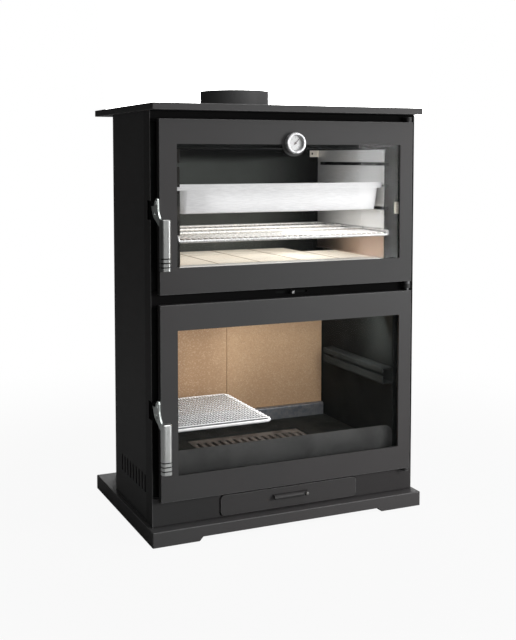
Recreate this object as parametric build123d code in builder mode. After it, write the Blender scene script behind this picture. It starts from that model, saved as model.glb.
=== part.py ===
from build123d import *
import os

# Free-standing wood stove with a baking oven above the fire, built from folded sheet steel.
# Millimetres, +Z up, front towards -Y, origin on the floor under the middle of the whole part.

# Heights from the floor up
plinth_height = 29.5
bottom_panel_height = 50.6
above_doors = 15.8
top_thickness = 13.0
collar_height = 43.0

# Plan sizes; a depth is counted from the face of the front frame towards the rear
frame_width = 576.0
frame_side_depth = 39.0
plinth_side_lap = 7.5
plinth_rear_lap = 10.5
plinth_overhang = 25.6
top_side_lap = 3.5
top_rear_lap = 10.0
top_overhang = 27.5
top_corner = 2.0
top_edge = 1.2
grip_reach = 54.0

# Sheets
plinth_sheet = 3.0
frame_sheet = 2.0
bar_sheet = 2.5
carcass_sheet = 3.0
panel_sheet = 2.0
liner_sheet = 1.5
box_sheet = 1.5
bend_radius = 3.0
carcass_bend = 4.0
thin_bend = 2.0

# Plinth tray
plinth_corner = 2.0
foot_lip = 20.0
arch_width = 403.0
arch_height = 8.0
arch_angle = 47.0

# Carcass: the gas-tight inner body
chamber_setback = 40.0
carcass_depth = 355.0
seal_depth = 12.0
seal_sheet = 3.0
seal_margin = 3.0
shelf_width = 12.0
flange_width = 14.0
plate_play = 0.3

# Levels of the two chambers, counted from the edges of their doors
hearth_rise = 41.9
hearth_thickness = 12.0
firebox_opening_drop = 20.1
oven_floor_rise = 36.5
oven_floor_thickness = 4.0
oven_ceiling_drop = 54.2
oven_ceiling_thickness = 3.0
oven_flue_space = 45.0
oven_back_sheet = 3.0

# Doors
door_side_gap = 13.0
door_proud = 15.5
door_ring_depth = 15.0
door_face_thickness = 4.0
door_block_inset = 9.0
door_block_depth = 6.5
door_edge_radius = 1.0
hinge_edge_radius = 6.0
firebox_door_height = 376.0
door_gap = 19.4
oven_door_height = 328.7
bar_lap = 5.0
window_left = 34.6
window_right = 29.1
window_corner = 1.5
oven_window_bottom = 49.8
oven_window_top = 46.9
firebox_window_bottom = 48.6
firebox_window_top = 49.3
glass_lap = 10.0
glass_thickness = 4.0
glass_play = 0.2
rope_width = 7.0
rope_inset = 1.0
rope_groove_depth = 7.0
rope_gap = 0.3
rope_crown = 3.0
clip_width = 24.0
clip_sheet = 2.0
clip_drop = 13.0
oven_clip_reach = 17.9
short_clip_reach = 9.0
clip_offset = 90.0
oven_clip_height = 152.5

# Hinges, on the right as seen from the front
hinge_inset = 7.0
hinge_depth = -9.0
pin_radius = 4.0
pin_play = 0.05
pin_engagement = 22.0
bore_extra = 1.0
pin_washer_radius = 6.5
pin_washer_gap = 0.3
bracket_thickness = 9.0
lower_bracket_thickness = 5.0
bracket_clearance = 1.0
bracket_radius = 7.0

# Door handles and their keepers
arm_thickness = 3.0
arm_offset = 5.0
arm_pivot_depth = -8.0
arm_pivot_rise = 162.5
handle_drop = 379.0
pivot_radius = 4.0
pivot_seat = 12.0
pivot_shoulder_radius = 6.0
grip_width = 20.0
grip_proud = 2.0
grip_depth = 16.0
grip_corner = 6.0
grip_length = 95.5
grip_drop = 19.4
tongue_length = 10.0
tongue_height = 15.0
grip_tongue_cover = 1.6
upper_slot_length = 8.0
upper_slot_width = 3.5
upper_slot_place = (-12.5, 11.0)
lower_slot_length = 15.0
lower_slot_width = 4.5
lower_slot_place = (-6.5, -12.0)
lower_slot_turn = 18.0
grooves = 3
groove_width = 2.2
groove_depth = 1.4
groove_pitch = 8.0
keeper_radius = 3.0
keeper_depth = 3.0
keeper_rise = 8.5
keeper_sheet = 3.0
keeper_length = 5.0
keeper_gap = 0.5
keeper_lug_radius = 6.0
notch_depth = 18.0
notch_height = 36.0
notch_drop = 22.0

# Thermometer in the oven door
gauge_x = 3.0
gauge_rise = 284.5
gauge_tab_radius = 26.0
gauge_radius = 20.5
gauge_height = 10.0
gauge_wall = 2.0
gauge_floor = 3.0
gauge_stem_radius = 4.0
gauge_stem_length = 20.0
gauge_stem_play = 0.1
gauge_glass_play = 1.5
dial_thickness = 0.8
lens_thickness = 1.5
lens_setback = 0.6
needle_length = 13.0
needle_tail = 4.0
needle_width = 1.6
needle_point = 0.4
needle_lift = 1.0
needle_thickness = 0.6
needle_hub_radius = 2.2
spindle_radius = 0.8

# Air slider behind the middle bar
slider_x = 4.0
slider_rise = 10.0
slider_length = 150.0
slider_height = 12.0
slider_sheet = 2.0
slider_slot_length = 70.0
slider_slot_height = 5.0
slider_shank_radius = 2.0
slider_play = 0.3
slider_corner = 2.0
knob_radius = 3.5
knob_length = 9.0
knob_gap = 0.5

# Ash drawer
drawer_x = 2.0
drawer_front_width = 302.0
drawer_front_height = 41.0
drawer_front_rise = 3.5
drawer_front_corner = 8.0
drawer_front_thickness = 4.0
drawer_front_proud = 3.0
drawer_front_gap = 1.2
drawer_box_inset = 11.0
drawer_rear_gap = 19.0
drawer_box_lift = 3.0
drawer_lip = 9.0
drawer_lip_drop = 6.5
drawer_lip_gap = 0.3
pull_width = 75.0
pull_reach = 9.0
pull_sheet = 2.0
pull_rise = 20.0

# Ash chute and drawer housing under the hearth
housing_lap = 5.0
housing_rise = 48.5
housing_rear_gap = 15.0
housing_sheet = 2.0

# Grate in the hearth
grate_width = 260.0
grate_depth = 131.0
grate_thickness = 6.0
grate_front_depth = 100.0
grate_drop = 2.5
grate_play = 1.0
grate_ledge = 8.0
grate_bevel = 4.0
grate_slots = 15
grate_slot_pitch = 16.8
grate_slot_width = 8.0
grate_slot_length = 87.0

# Log guard
guard_play = 2.0
guard_height = 48.0
guard_sheet = 3.0
guard_front_depth = 7.5
guard_foot = 20.0
guard_corner = 18.0

# Fireproof boards
board_thickness = 27.0
board_play = 3.0
board_joint = 0.6
skirting_height = 29.0
skirting_reach = 10.0
skirting_sheet = 3.0
baffle_drop = 8.0
baffle_thickness = 20.0
baffle_front_depth = 90.0
board_chamfer = 1.0
shelf_thickness = 3.0

# Grill rails and grid in the firebox
rail_width = 27.0
rail_rise = 136.0
rail_height = 34.0
rail_sheet = 2.0
rail_length = 262.0
rail_front_depth = 8.0
rail_slot_height = 6.0
rail_slot_rise = 20.0
grid_wall_gap = 10.0
grid_width = 222.0
grid_front_depth = 38.0
grid_board_gap = 36.0
grid_rise = 78.0
grid_rod = 6.0
grid_wire = 3.0
grid_weld = 0.5
grid_wires = 16
wire_sides = 8
grid_corner = 14.0
hanger_rod = 5.0
hanger_reach = 12.0
hanger_bend = 6.0
hanger_setback = 42.0

# Oven lining and its furniture
tile_columns = 5
tile_thickness = 12.0
tile_joint = 0.6
tile_front_depth = 42.0
tile_front_length = 172.0
tile_back_gap = 2.0
tile_chamfer = 0.8
strip_sheet = 1.5
liner_wall_gap = 23.0
liner_front_depth = 10.5
liner_top_gap = 2.0
liner_flange_lap = 4.0
liner_foot = 8.0
liner_slots = 4
liner_first_slot = 56.5
liner_slot_pitch = 46.0
liner_slot_height = 7.0
liner_slot_setback = 10.0
liner_slot_reach = 9.0
liner_tab_width = 21.0
liner_tab_height = 15.0
liner_tab_hole = 5.0
rack_rod = 6.0
rack_wire = 3.0
rack_slot_reach = 5.0
rack_front_depth = 7.0
rack_rear_gap = 5.0
rack_dip = 7.7
rack_bend = 3.6
rack_cross_radius = 2.5
rack_wire_margin = 6.0
rack_wire_pitch = 12.0
rack_cross_rods = 2
tray_side_gap = 5.5
tray_front_depth = 22.0
tray_back_gap = 5.0
tray_height = 47.0
tray_sheet = 1.5
tray_corner = 14.0
tray_draft = 8.0
tray_floor_radius = 3.0
tray_slot_reach = 7.0
tray_lip = 10.0
runner_gap = 0.3

# Cladding
panel_step = 2.0
panel_rear_setback = 105.6
panel_flange = 14.0
vents = 9
vent_pitch = 18.9
vent_first_depth = 48.5
vent_width = 7.5
vent_rise = 55.5
vent_height = 36.0
shield_side_margin = 11.0
shield_sheet = 2.0
shield_gap = 5.0
shield_bottom_margin = 30.5
shield_top_margin = 20.0
shield_corner = 6.0
spacer_radius = 6.0
spacer_x = 190.0
spacer_inset = 70.0
bolt_radius = 3.0
bolt_head_radius = 5.0
bolt_head_height = 2.5

# Flue collar
collar_radius = 75.0
collar_wall = 3.0
collar_rear_margin = 77.3

# Places that follow from the sizes above
plinth_depth = plinth_overhang + carcass_depth + plinth_rear_lap
top_depth = top_overhang + carcass_depth + top_rear_lap
front_y = (grip_reach - (plinth_depth - plinth_overhang)) / 2
plinth_width = frame_width + 2 * plinth_side_lap
top_width = frame_width + 2 * top_side_lap
chamber_width = frame_width - 2 * chamber_setback
chamber_half = chamber_width / 2
carcass_half = chamber_half + carcass_sheet
door_width = frame_width - 2 * door_side_gap
door_half = door_width / 2
block_half = door_half - door_block_inset
firebox_door_bottom = plinth_height + bottom_panel_height
firebox_door_top = firebox_door_bottom + firebox_door_height
oven_door_bottom = firebox_door_top + door_gap
oven_door_top = oven_door_bottom + oven_door_height
body_top = oven_door_top + above_doors
body_height = body_top - plinth_height
top_face = body_top + top_thickness
hearth_top = firebox_door_bottom + hearth_rise
firebox_opening_top = firebox_door_top - firebox_opening_drop
baffle_bottom = firebox_opening_top - baffle_drop
oven_floor_top = oven_door_bottom + oven_floor_rise
oven_ceiling = oven_door_top - oven_ceiling_drop
oven_back_depth = carcass_depth - oven_flue_space
board_width = chamber_width - 2 * board_play
board_front_depth = carcass_depth - carcass_sheet - board_thickness
drawer_front_bottom = plinth_height + drawer_front_rise
drawer_box_width = drawer_front_width - 2 * drawer_box_inset
housing_width = drawer_front_width + 2 * housing_lap
housing_top = plinth_height + housing_rise
housing_rear_depth = carcass_depth - housing_rear_gap
drawer_lip_top = housing_top - drawer_lip_drop
liner_width = chamber_width - 2 * liner_wall_gap
liner_flange = liner_wall_gap + liner_flange_lap
liner_slot_end_depth = oven_back_depth - liner_slot_setback
collar_depth = carcass_depth - collar_rear_margin
block_rear_depth = -door_proud + door_ring_depth + door_block_depth
glass_front_depth = -door_proud + door_face_thickness
window_x = (window_left - window_right) / 2
window_width = door_width - window_left - window_right
seal_rear_depth = seal_depth + seal_sheet
hinge_x = door_half - hinge_inset
oven_floor_bottom = oven_floor_top - oven_floor_thickness
tile_top = oven_floor_top + tile_thickness
middle_bar_bottom = firebox_door_top - bar_lap
middle_bar_top = oven_door_bottom + bar_lap
arm_outer_x = -door_half - arm_offset - arm_thickness
oven_pivot_z = oven_door_bottom + arm_pivot_rise
firebox_pivot_z = oven_pivot_z - handle_drop
gauge_z = oven_door_bottom + gauge_rise


def at(depth):
    """Y of a place this far behind the face of the front frame."""
    return front_y + depth


def facing(depth):
    """Upright plane seen from the front: local x is X, local y is Z, a negative extrusion goes rearwards."""
    return Plane.XZ.offset(-at(depth))


def finish(block, name):
    """Labels one finished piece and writes it."""
    block.part.label = name
    export_step(block.part, "parts/" + name + ".step")


def folded(plane, points, sheet, side=Side.LEFT, bend=bend_radius):
    """Section of a folded sheet whose outer faces run through the points."""
    with BuildSketch(plane) as section:
        with BuildLine():
            FilletPolyline(*points, radius=bend)
            offset(amount=sheet, side=side)
        make_face()
    return section.sketch


# Plinth: a folded tray turned upside down, with a return lip to stand on and a low arch in the front skirt
plinth_middle_y = at(plinth_depth / 2 - plinth_overhang)
with BuildPart() as plinth:
    with BuildSketch(Plane.XY):
        with Locations((0, plinth_middle_y)):
            Rectangle(plinth_width, plinth_depth)
    extrude(amount=plinth_height)
    fillet(plinth.edges().filter_by(Axis.Z), plinth_corner)
    fillet(plinth.faces().sort_by(Axis.Z)[-1].outer_wire().edges(), plinth_corner)
    with BuildSketch(Plane.XY.offset(plinth_sheet)):
        with Locations((0, plinth_middle_y)):
            Rectangle(plinth_width - 2 * plinth_sheet, plinth_depth - 2 * plinth_sheet)
    extrude(amount=plinth_height - 2 * plinth_sheet, mode=Mode.SUBTRACT)
    with BuildSketch(Plane.XY):
        with Locations((0, plinth_middle_y)):
            Rectangle(plinth_width - 2 * foot_lip, plinth_depth - 2 * foot_lip)
    extrude(amount=plinth_sheet, mode=Mode.SUBTRACT)
    with BuildSketch(facing(-plinth_overhang)):
        with Locations((0, arch_height / 2)):
            Trapezoid(arch_width, arch_height, arch_angle)
    extrude(amount=-foot_lip, mode=Mode.SUBTRACT)
finish(plinth, "plinth")


# Front frame: two side sheets with a rear return, joined by three channel bars
bar_length = frame_width - 2 * frame_sheet
bars = [
    (plinth_height, firebox_door_bottom + bar_lap),
    (middle_bar_bottom, middle_bar_top),
    (oven_door_top - bar_lap, body_top),
]
drawer_opening_width = drawer_front_width + 2 * drawer_front_gap
drawer_opening_height = drawer_front_height + 2 * drawer_front_gap
drawer_middle_z = drawer_front_bottom + drawer_front_height / 2
slider_z = firebox_door_top + slider_rise


def channel(bottom, top):
    """Channel section of a cross bar, open to the rear."""
    points = [(at(seal_depth), top), (at(0), top), (at(0), bottom), (at(seal_depth), bottom)]
    return folded(Plane.YZ.offset(-bar_length / 2), points, bar_sheet)


with BuildPart() as front_frame:
    for bar_bottom, bar_top in bars:
        extrude(channel(bar_bottom, bar_top), amount=bar_length)
    side_points = [
        (-frame_width / 2, at(0)),
        (-frame_width / 2, at(frame_side_depth)),
        (-frame_width / 2 + flange_width + panel_step, at(frame_side_depth)),
    ]
    side = extrude(
        folded(Plane.XY.offset(plinth_height), side_points, frame_sheet, Side.RIGHT), amount=body_height
    )
    mirror(side, about=Plane.YZ)
    with BuildSketch(facing(0)):
        with Locations((drawer_x, drawer_middle_z)):
            RectangleRounded(
                drawer_opening_width, drawer_opening_height, drawer_front_corner + drawer_front_gap
            )
        with Locations((slider_x, slider_z)):
            SlotOverall(slider_slot_length, slider_slot_height)
    extrude(amount=-bar_sheet, mode=Mode.SUBTRACT)
    for pivot_z in (oven_pivot_z, firebox_pivot_z):
        with BuildSketch(Plane.YZ.offset(-frame_width / 2)):
            with Locations((at(notch_depth / 2), pivot_z - notch_drop + notch_height / 2)):
                Rectangle(notch_depth, notch_height)
        extrude(amount=frame_sheet, mode=Mode.SUBTRACT)
finish(front_frame, "front_frame")


# Sealing frame: the flat face that the door ropes press on
seal_bottom = firebox_door_bottom
seal_top = oven_door_top
with BuildPart() as sealing_frame:
    with BuildSketch(facing(seal_depth)):
        with Locations((0, (seal_bottom + seal_top) / 2)):
            Rectangle(frame_width - 2 * seal_margin, seal_top - seal_bottom)
        with Locations((0, (hearth_top + firebox_opening_top) / 2)):
            Rectangle(chamber_width, firebox_opening_top - hearth_top, mode=Mode.SUBTRACT)
        with Locations((0, (oven_floor_top + oven_ceiling) / 2)):
            Rectangle(chamber_width, oven_ceiling - oven_floor_top, mode=Mode.SUBTRACT)
    extrude(amount=-seal_sheet)
finish(sealing_frame, "sealing_frame")


# Carcass sides: plates with top and bottom flanges and the ledges that carry the hearth, baffle and oven
ledges = [
    (hearth_top - hearth_thickness, seal_rear_depth, carcass_depth - carcass_sheet),
    (baffle_bottom, baffle_front_depth, board_front_depth),
    (oven_floor_bottom, seal_rear_depth, carcass_depth - carcass_sheet),
    (oven_ceiling, seal_rear_depth, oven_back_depth),
]
side_length = carcass_depth - carcass_sheet - seal_rear_depth
with BuildPart() as carcass_side_right:
    side_points = [
        (chamber_half - flange_width, body_top),
        (carcass_half, body_top),
        (carcass_half, plinth_height),
        (chamber_half - flange_width, plinth_height),
    ]
    extrude(
        folded(facing(seal_rear_depth), side_points, carcass_sheet, Side.RIGHT, carcass_bend),
        amount=-side_length,
    )
    for ledge_top, ledge_front, ledge_rear in ledges:
        with BuildSketch(facing(ledge_front)):
            with Locations((chamber_half - shelf_width / 2, ledge_top - shelf_thickness / 2)):
                Rectangle(shelf_width, shelf_thickness)
        extrude(amount=ledge_front - ledge_rear)
finish(carcass_side_right, "carcass_side_right")

with BuildPart() as carcass_side_left:
    add(mirror(carcass_side_right.part, about=Plane.YZ, mode=Mode.PRIVATE))
finish(carcass_side_left, "carcass_side_left")

with BuildPart() as carcass_rear:
    with BuildSketch(facing(carcass_depth - carcass_sheet)):
        with Locations((0, plinth_height + body_height / 2)):
            Rectangle(2 * carcass_half, body_height)
    extrude(amount=-carcass_sheet)
finish(carcass_rear, "carcass_rear")


# Hearth plate: cast, with a bevelled seat for the grate
grate_middle_y = at(grate_front_depth + grate_depth / 2)
grate_seat_z = hearth_top - grate_drop - grate_thickness
grate_hole_width = grate_width - 2 * grate_ledge
grate_hole_depth = grate_depth - 2 * grate_ledge
hearth_rear_depth = carcass_depth - carcass_sheet
with BuildPart() as hearth_plate:
    with BuildSketch(Plane.XY.offset(hearth_top - hearth_thickness)):
        with Locations((0, at((seal_rear_depth + hearth_rear_depth) / 2))):
            Rectangle(chamber_width - 2 * plate_play, hearth_rear_depth - seal_rear_depth)
        with Locations((0, grate_middle_y)):
            Rectangle(grate_hole_width, grate_hole_depth, mode=Mode.SUBTRACT)
    extrude(amount=hearth_thickness)
    with BuildSketch(Plane.XY.offset(grate_seat_z)):
        with Locations((0, grate_middle_y)):
            Rectangle(grate_width + 2 * grate_play, grate_depth + 2 * grate_play)
    extrude(amount=grate_drop + grate_thickness, mode=Mode.SUBTRACT)
    rim = hearth_plate.faces().sort_by(Axis.Z)[-1].inner_wires()[0].edges()
    chamfer(rim, grate_bevel)
finish(hearth_plate, "hearth_plate")

with BuildPart() as fire_grate:
    with BuildSketch(Plane.XY.offset(grate_seat_z)):
        with Locations((0, grate_middle_y)):
            RectangleRounded(grate_width, grate_depth, grate_play)
            with GridLocations(grate_slot_pitch, 0, grate_slots, 1):
                SlotOverall(grate_slot_length, grate_slot_width, rotation=90, mode=Mode.SUBTRACT)
    extrude(amount=grate_thickness)
finish(fire_grate, "fire_grate")


# Drawer housing: a folded hood over the ash drawer with the chute that rises to the hearth
housing_front_depth = seal_depth
housing_length = housing_rear_depth - housing_front_depth
housing_half = housing_width / 2
with BuildPart() as ash_housing:
    hood_points = [
        (drawer_x - housing_half, plinth_height),
        (drawer_x - housing_half, housing_top),
        (drawer_x + housing_half, housing_top),
        (drawer_x + housing_half, plinth_height),
    ]
    extrude(folded(facing(housing_front_depth), hood_points, housing_sheet, Side.RIGHT), amount=-housing_length)
    with BuildSketch(Plane.XY.offset(housing_top)):
        with Locations((0, grate_middle_y)):
            Rectangle(grate_hole_width + 2 * housing_sheet, grate_hole_depth + 2 * housing_sheet)
    extrude(amount=hearth_top - hearth_thickness - housing_top)
    with BuildSketch(Plane.XY.offset(housing_top - housing_sheet)):
        with Locations((0, grate_middle_y)):
            Rectangle(grate_hole_width, grate_hole_depth)
    extrude(amount=hearth_top - hearth_thickness - housing_top + housing_sheet, mode=Mode.SUBTRACT)
finish(ash_housing, "ash_housing")


# Drawer runners: two angles inside the housing
runner_top = drawer_lip_top - box_sheet - drawer_lip_gap
runner_outer = housing_half - housing_sheet
runner_inner = drawer_box_width / 2 + drawer_lip_gap
with BuildPart() as drawer_runners:
    for hand in (-1, 1):
        angle_points = [
            (drawer_x + hand * runner_inner, runner_top),
            (drawer_x + hand * runner_outer, runner_top),
            (drawer_x + hand * runner_outer, runner_top - drawer_lip),
        ]
        inward = Side.RIGHT if hand > 0 else Side.LEFT
        extrude(folded(facing(housing_front_depth), angle_points, housing_sheet, inward), amount=-housing_length)
finish(drawer_runners, "drawer_runners")


# Ash drawer: open box with side lips, front plate and curled pull
drawer_box_bottom = drawer_front_bottom + drawer_box_lift
drawer_front_rear_depth = drawer_front_thickness - drawer_front_proud
drawer_box_length = housing_rear_depth - drawer_rear_gap - drawer_front_rear_depth
drawer_box_middle_y = at(drawer_front_rear_depth + drawer_box_length / 2)
with BuildPart() as ash_drawer_box:
    with BuildSketch(Plane.XY.offset(drawer_box_bottom)):
        with Locations((drawer_x, drawer_box_middle_y)):
            Rectangle(drawer_box_width, drawer_box_length)
    extrude(amount=drawer_lip_top - drawer_box_bottom)
    fillet(ash_drawer_box.edges().filter_by(Axis.Y).group_by(Axis.Z)[0], bend_radius)
    offset(amount=-box_sheet, openings=ash_drawer_box.faces().sort_by(Axis.Z)[-1])
    with BuildSketch(Plane.XY.offset(drawer_lip_top - box_sheet)):
        with Locations((drawer_x, drawer_box_middle_y)):
            Rectangle(drawer_box_width + 2 * drawer_lip, drawer_box_length)
            Rectangle(drawer_box_width - 2 * box_sheet, drawer_box_length, mode=Mode.SUBTRACT)
    extrude(amount=box_sheet)
finish(ash_drawer_box, "ash_drawer_box")

with BuildPart() as ash_drawer_front:
    with BuildSketch(facing(-drawer_front_proud)):
        with Locations((drawer_x, drawer_middle_z)):
            RectangleRounded(drawer_front_width, drawer_front_height, drawer_front_corner)
    extrude(amount=-drawer_front_thickness)
    fillet(ash_drawer_front.faces().sort_by(Axis.Y)[0].edges(), door_edge_radius)
finish(ash_drawer_front, "ash_drawer_front")

with BuildPart() as drawer_pull:
    pull_root_y = at(-drawer_front_proud)
    pull_z = drawer_front_bottom + pull_rise
    with BuildSketch(Plane.YZ.offset(drawer_x - pull_width / 2)):
        with BuildLine():
            outer = CenterArc((pull_root_y, pull_z), pull_reach, 90, 90)
            inner = CenterArc((pull_root_y, pull_z), pull_reach - pull_sheet, 90, 90)
            Line(outer @ 0, inner @ 0)
            Line(outer @ 1, inner @ 1)
        make_face()
    extrude(amount=pull_width)
    fillet(drawer_pull.edges().filter_by(Axis.X).sort_by(Axis.Z)[:1], pull_sheet / 4)
finish(drawer_pull, "drawer_pull")


# Log guard: a bent plate across the front of the hearth with round upper corners
guard_width = chamber_width - 2 * guard_play
with BuildPart() as log_guard:
    guard_front = at(guard_front_depth)
    with BuildSketch(Plane.YZ.offset(-guard_width / 2)):
        with BuildLine():
            foot = Line((guard_front + guard_foot, hearth_top), (guard_front + guard_sheet, hearth_top))
            ThreePointArc(
                foot @ 1,
                (guard_front, hearth_top + guard_height / 2),
                (guard_front + guard_sheet, hearth_top + guard_height),
            )
            offset(amount=guard_sheet, side=Side.RIGHT)
        make_face()
    extrude(amount=guard_width)
    with BuildSketch(facing(0)):
        with Locations((0, hearth_top)):
            RectangleRounded(guard_width, 2 * guard_height, guard_corner)
    extrude(amount=-(guard_front_depth + guard_foot + guard_sheet), mode=Mode.INTERSECT)
finish(log_guard, "log_guard")


# Fireproof boards at the rear of the fire: two boards on a folded skirting, and the baffle over them
skirting_top = hearth_top + skirting_height
with BuildPart() as board_skirting:
    skirting_points = [
        (at(board_front_depth - skirting_reach), hearth_top),
        (at(board_front_depth - skirting_reach), skirting_top),
        (at(hearth_rear_depth), skirting_top),
        (at(hearth_rear_depth), hearth_top),
    ]
    extrude(
        folded(Plane.YZ.offset(-board_width / 2), skirting_points, skirting_sheet, Side.RIGHT, carcass_bend),
        amount=board_width,
    )
finish(board_skirting, "board_skirting")

half_board = (board_width - board_joint) / 2
for hand, name in ((-1, "back_board_left"), (1, "back_board_right")):
    with BuildPart() as back_board:
        with BuildSketch(facing(board_front_depth)):
            with Locations((hand * (board_joint + half_board) / 2, (skirting_top + baffle_bottom) / 2)):
                Rectangle(half_board, baffle_bottom - skirting_top)
        extrude(amount=-board_thickness)
        chamfer(back_board.faces().sort_by(Axis.Y)[0].edges(), board_chamfer)
    finish(back_board, name)

with BuildPart() as baffle:
    with BuildSketch(Plane.XY.offset(baffle_bottom)):
        with Locations((0, at((baffle_front_depth + hearth_rear_depth) / 2))):
            Rectangle(board_width, hearth_rear_depth - baffle_front_depth)
    extrude(amount=baffle_thickness)
    chamfer(baffle.edges().filter_by(Axis.X).sort_by(Axis.Y)[:2], board_chamfer)
finish(baffle, "baffle")


# Grill rails: folded channels on the firebox walls with a slot towards the fire
rail_inner = chamber_half - rail_width
rail_bottom = hearth_top + rail_rise
rail_slot_bottom = rail_bottom + rail_slot_rise - rail_slot_height / 2
with BuildPart() as grill_rail_right:
    with BuildSketch(facing(rail_front_depth)):
        with Locations((chamber_half - rail_width / 2, rail_bottom + rail_height / 2)):
            RectangleRounded(rail_width, rail_height, bend_radius)
            RectangleRounded(
                rail_width - 2 * rail_sheet, rail_height - 2 * rail_sheet, bend_radius - rail_sheet / 2,
                mode=Mode.SUBTRACT,
            )
        with Locations((rail_inner + rail_sheet / 2, rail_slot_bottom + rail_slot_height / 2)):
            Rectangle(2 * rail_sheet, rail_slot_height, mode=Mode.SUBTRACT)
    extrude(amount=-rail_length)
finish(grill_rail_right, "grill_rail_right")

with BuildPart() as grill_rail_left:
    add(mirror(grill_rail_right.part, about=Plane.YZ, mode=Mode.PRIVATE))
finish(grill_rail_left, "grill_rail_left")


# Grill grid: a rod frame with cross wires, hung from the slot of the left rail by two bent hangers
grid_left = grid_wall_gap - chamber_half
grid_right = grid_left + grid_width
grid_level = hearth_top + grid_rise
grid_rear_depth = board_front_depth - grid_board_gap
grid_depth = grid_rear_depth - grid_front_depth
grid_rod_half = grid_rod / 2
grid_middle_y = at(grid_front_depth + grid_depth / 2)
hanger_x = -rail_inner + hanger_bend
hanger_level = rail_slot_bottom + hanger_rod / 2 + runner_gap
with BuildPart() as grill_grid:
    with BuildLine(Plane.XY.offset(grid_level)) as rim:
        FilletPolyline(
            (grid_left + grid_rod_half, at(grid_front_depth + grid_rod_half)),
            (grid_right - grid_rod_half, at(grid_front_depth + grid_rod_half)),
            (grid_right - grid_rod_half, at(grid_rear_depth - grid_rod_half)),
            (grid_left + grid_rod_half, at(grid_rear_depth - grid_rod_half)),
            radius=grid_corner,
            close=True,
        )
    with BuildSketch(Plane(origin=rim.line @ 0, z_dir=rim.line % 0)):
        Circle(grid_rod_half)
    sweep()
    wire_pitch = (grid_depth - grid_rod) / (grid_wires + 1)
    with BuildSketch(Plane.YZ.offset(grid_left + grid_wire / 2)):
        with Locations((grid_middle_y, grid_level + grid_rod_half - grid_weld)):
            with GridLocations(wire_pitch, 0, grid_wires, 1):
                RegularPolygon(grid_wire / 2, wire_sides)
    extrude(amount=grid_width - grid_wire)
    for hanger_depth in (grid_front_depth + hanger_setback, grid_rear_depth - hanger_setback):
        with BuildLine(facing(hanger_depth)) as hanger:
            FilletPolyline(
                (grid_left + grid_rod_half, grid_level),
                (hanger_x, grid_level),
                (hanger_x, hanger_level),
                (-rail_inner - hanger_reach, hanger_level),
                radius=hanger_bend,
            )
        with BuildSketch(Plane(origin=hanger.line @ 0, z_dir=hanger.line % 0)):
            Circle(hanger_rod / 2)
        sweep()
finish(grill_grid, "grill_grid")


# Oven box: floor, back and ceiling plates between the carcass sides
oven_plate_width = chamber_width - 2 * plate_play
oven_depth = oven_back_depth - seal_rear_depth
for name, plate_bottom, plate_thickness in (
    ("oven_floor_plate", oven_floor_bottom, oven_floor_thickness),
    ("oven_ceiling_plate", oven_ceiling, oven_ceiling_thickness),
):
    with BuildPart() as oven_plate:
        with BuildSketch(Plane.XY.offset(plate_bottom)):
            with Locations((0, at(seal_rear_depth + (oven_depth + oven_back_sheet) / 2))):
                Rectangle(oven_plate_width, oven_depth + oven_back_sheet)
        extrude(amount=plate_thickness)
    finish(oven_plate, name)

with BuildPart() as oven_back_plate:
    with BuildSketch(facing(oven_back_depth)):
        with Locations((0, (oven_floor_top + oven_ceiling) / 2)):
            Rectangle(oven_plate_width, oven_ceiling - oven_floor_top)
    extrude(amount=-oven_back_sheet)
finish(oven_back_plate, "oven_back_plate")


# Oven tiles: five columns in two rows, the rear right place left open for the cleaning hatch
tile_size = liner_width / tile_columns
tile_rear_length = oven_back_depth - tile_back_gap - tile_front_depth - tile_front_length
tile_columns_x = [(column - (tile_columns - 1) / 2) * tile_size for column in range(tile_columns)]
with BuildPart() as oven_tiles:
    for row_front, row_length, row_columns in (
        (tile_front_depth, tile_front_length, tile_columns_x),
        (tile_front_depth + tile_front_length, tile_rear_length, tile_columns_x[:-1]),
    ):
        with BuildSketch(Plane.XY.offset(oven_floor_top)):
            with Locations(*[(x, at(row_front + row_length / 2)) for x in row_columns]):
                Rectangle(tile_size - tile_joint, row_length - tile_joint)
        extrude(amount=tile_thickness)
    chamfer(oven_tiles.faces().group_by(Axis.Z)[-1].edges(), tile_chamfer)
finish(oven_tiles, "oven_tiles")

with BuildPart() as tile_strip:
    strip_points = [
        (at(seal_rear_depth), oven_floor_top),
        (at(seal_rear_depth), tile_top),
        (at(tile_front_depth), tile_top),
    ]
    extrude(
        folded(Plane.YZ.offset(-liner_width / 2), strip_points, strip_sheet, Side.RIGHT, thin_bend),
        amount=liner_width,
    )
finish(tile_strip, "tile_strip")


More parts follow.
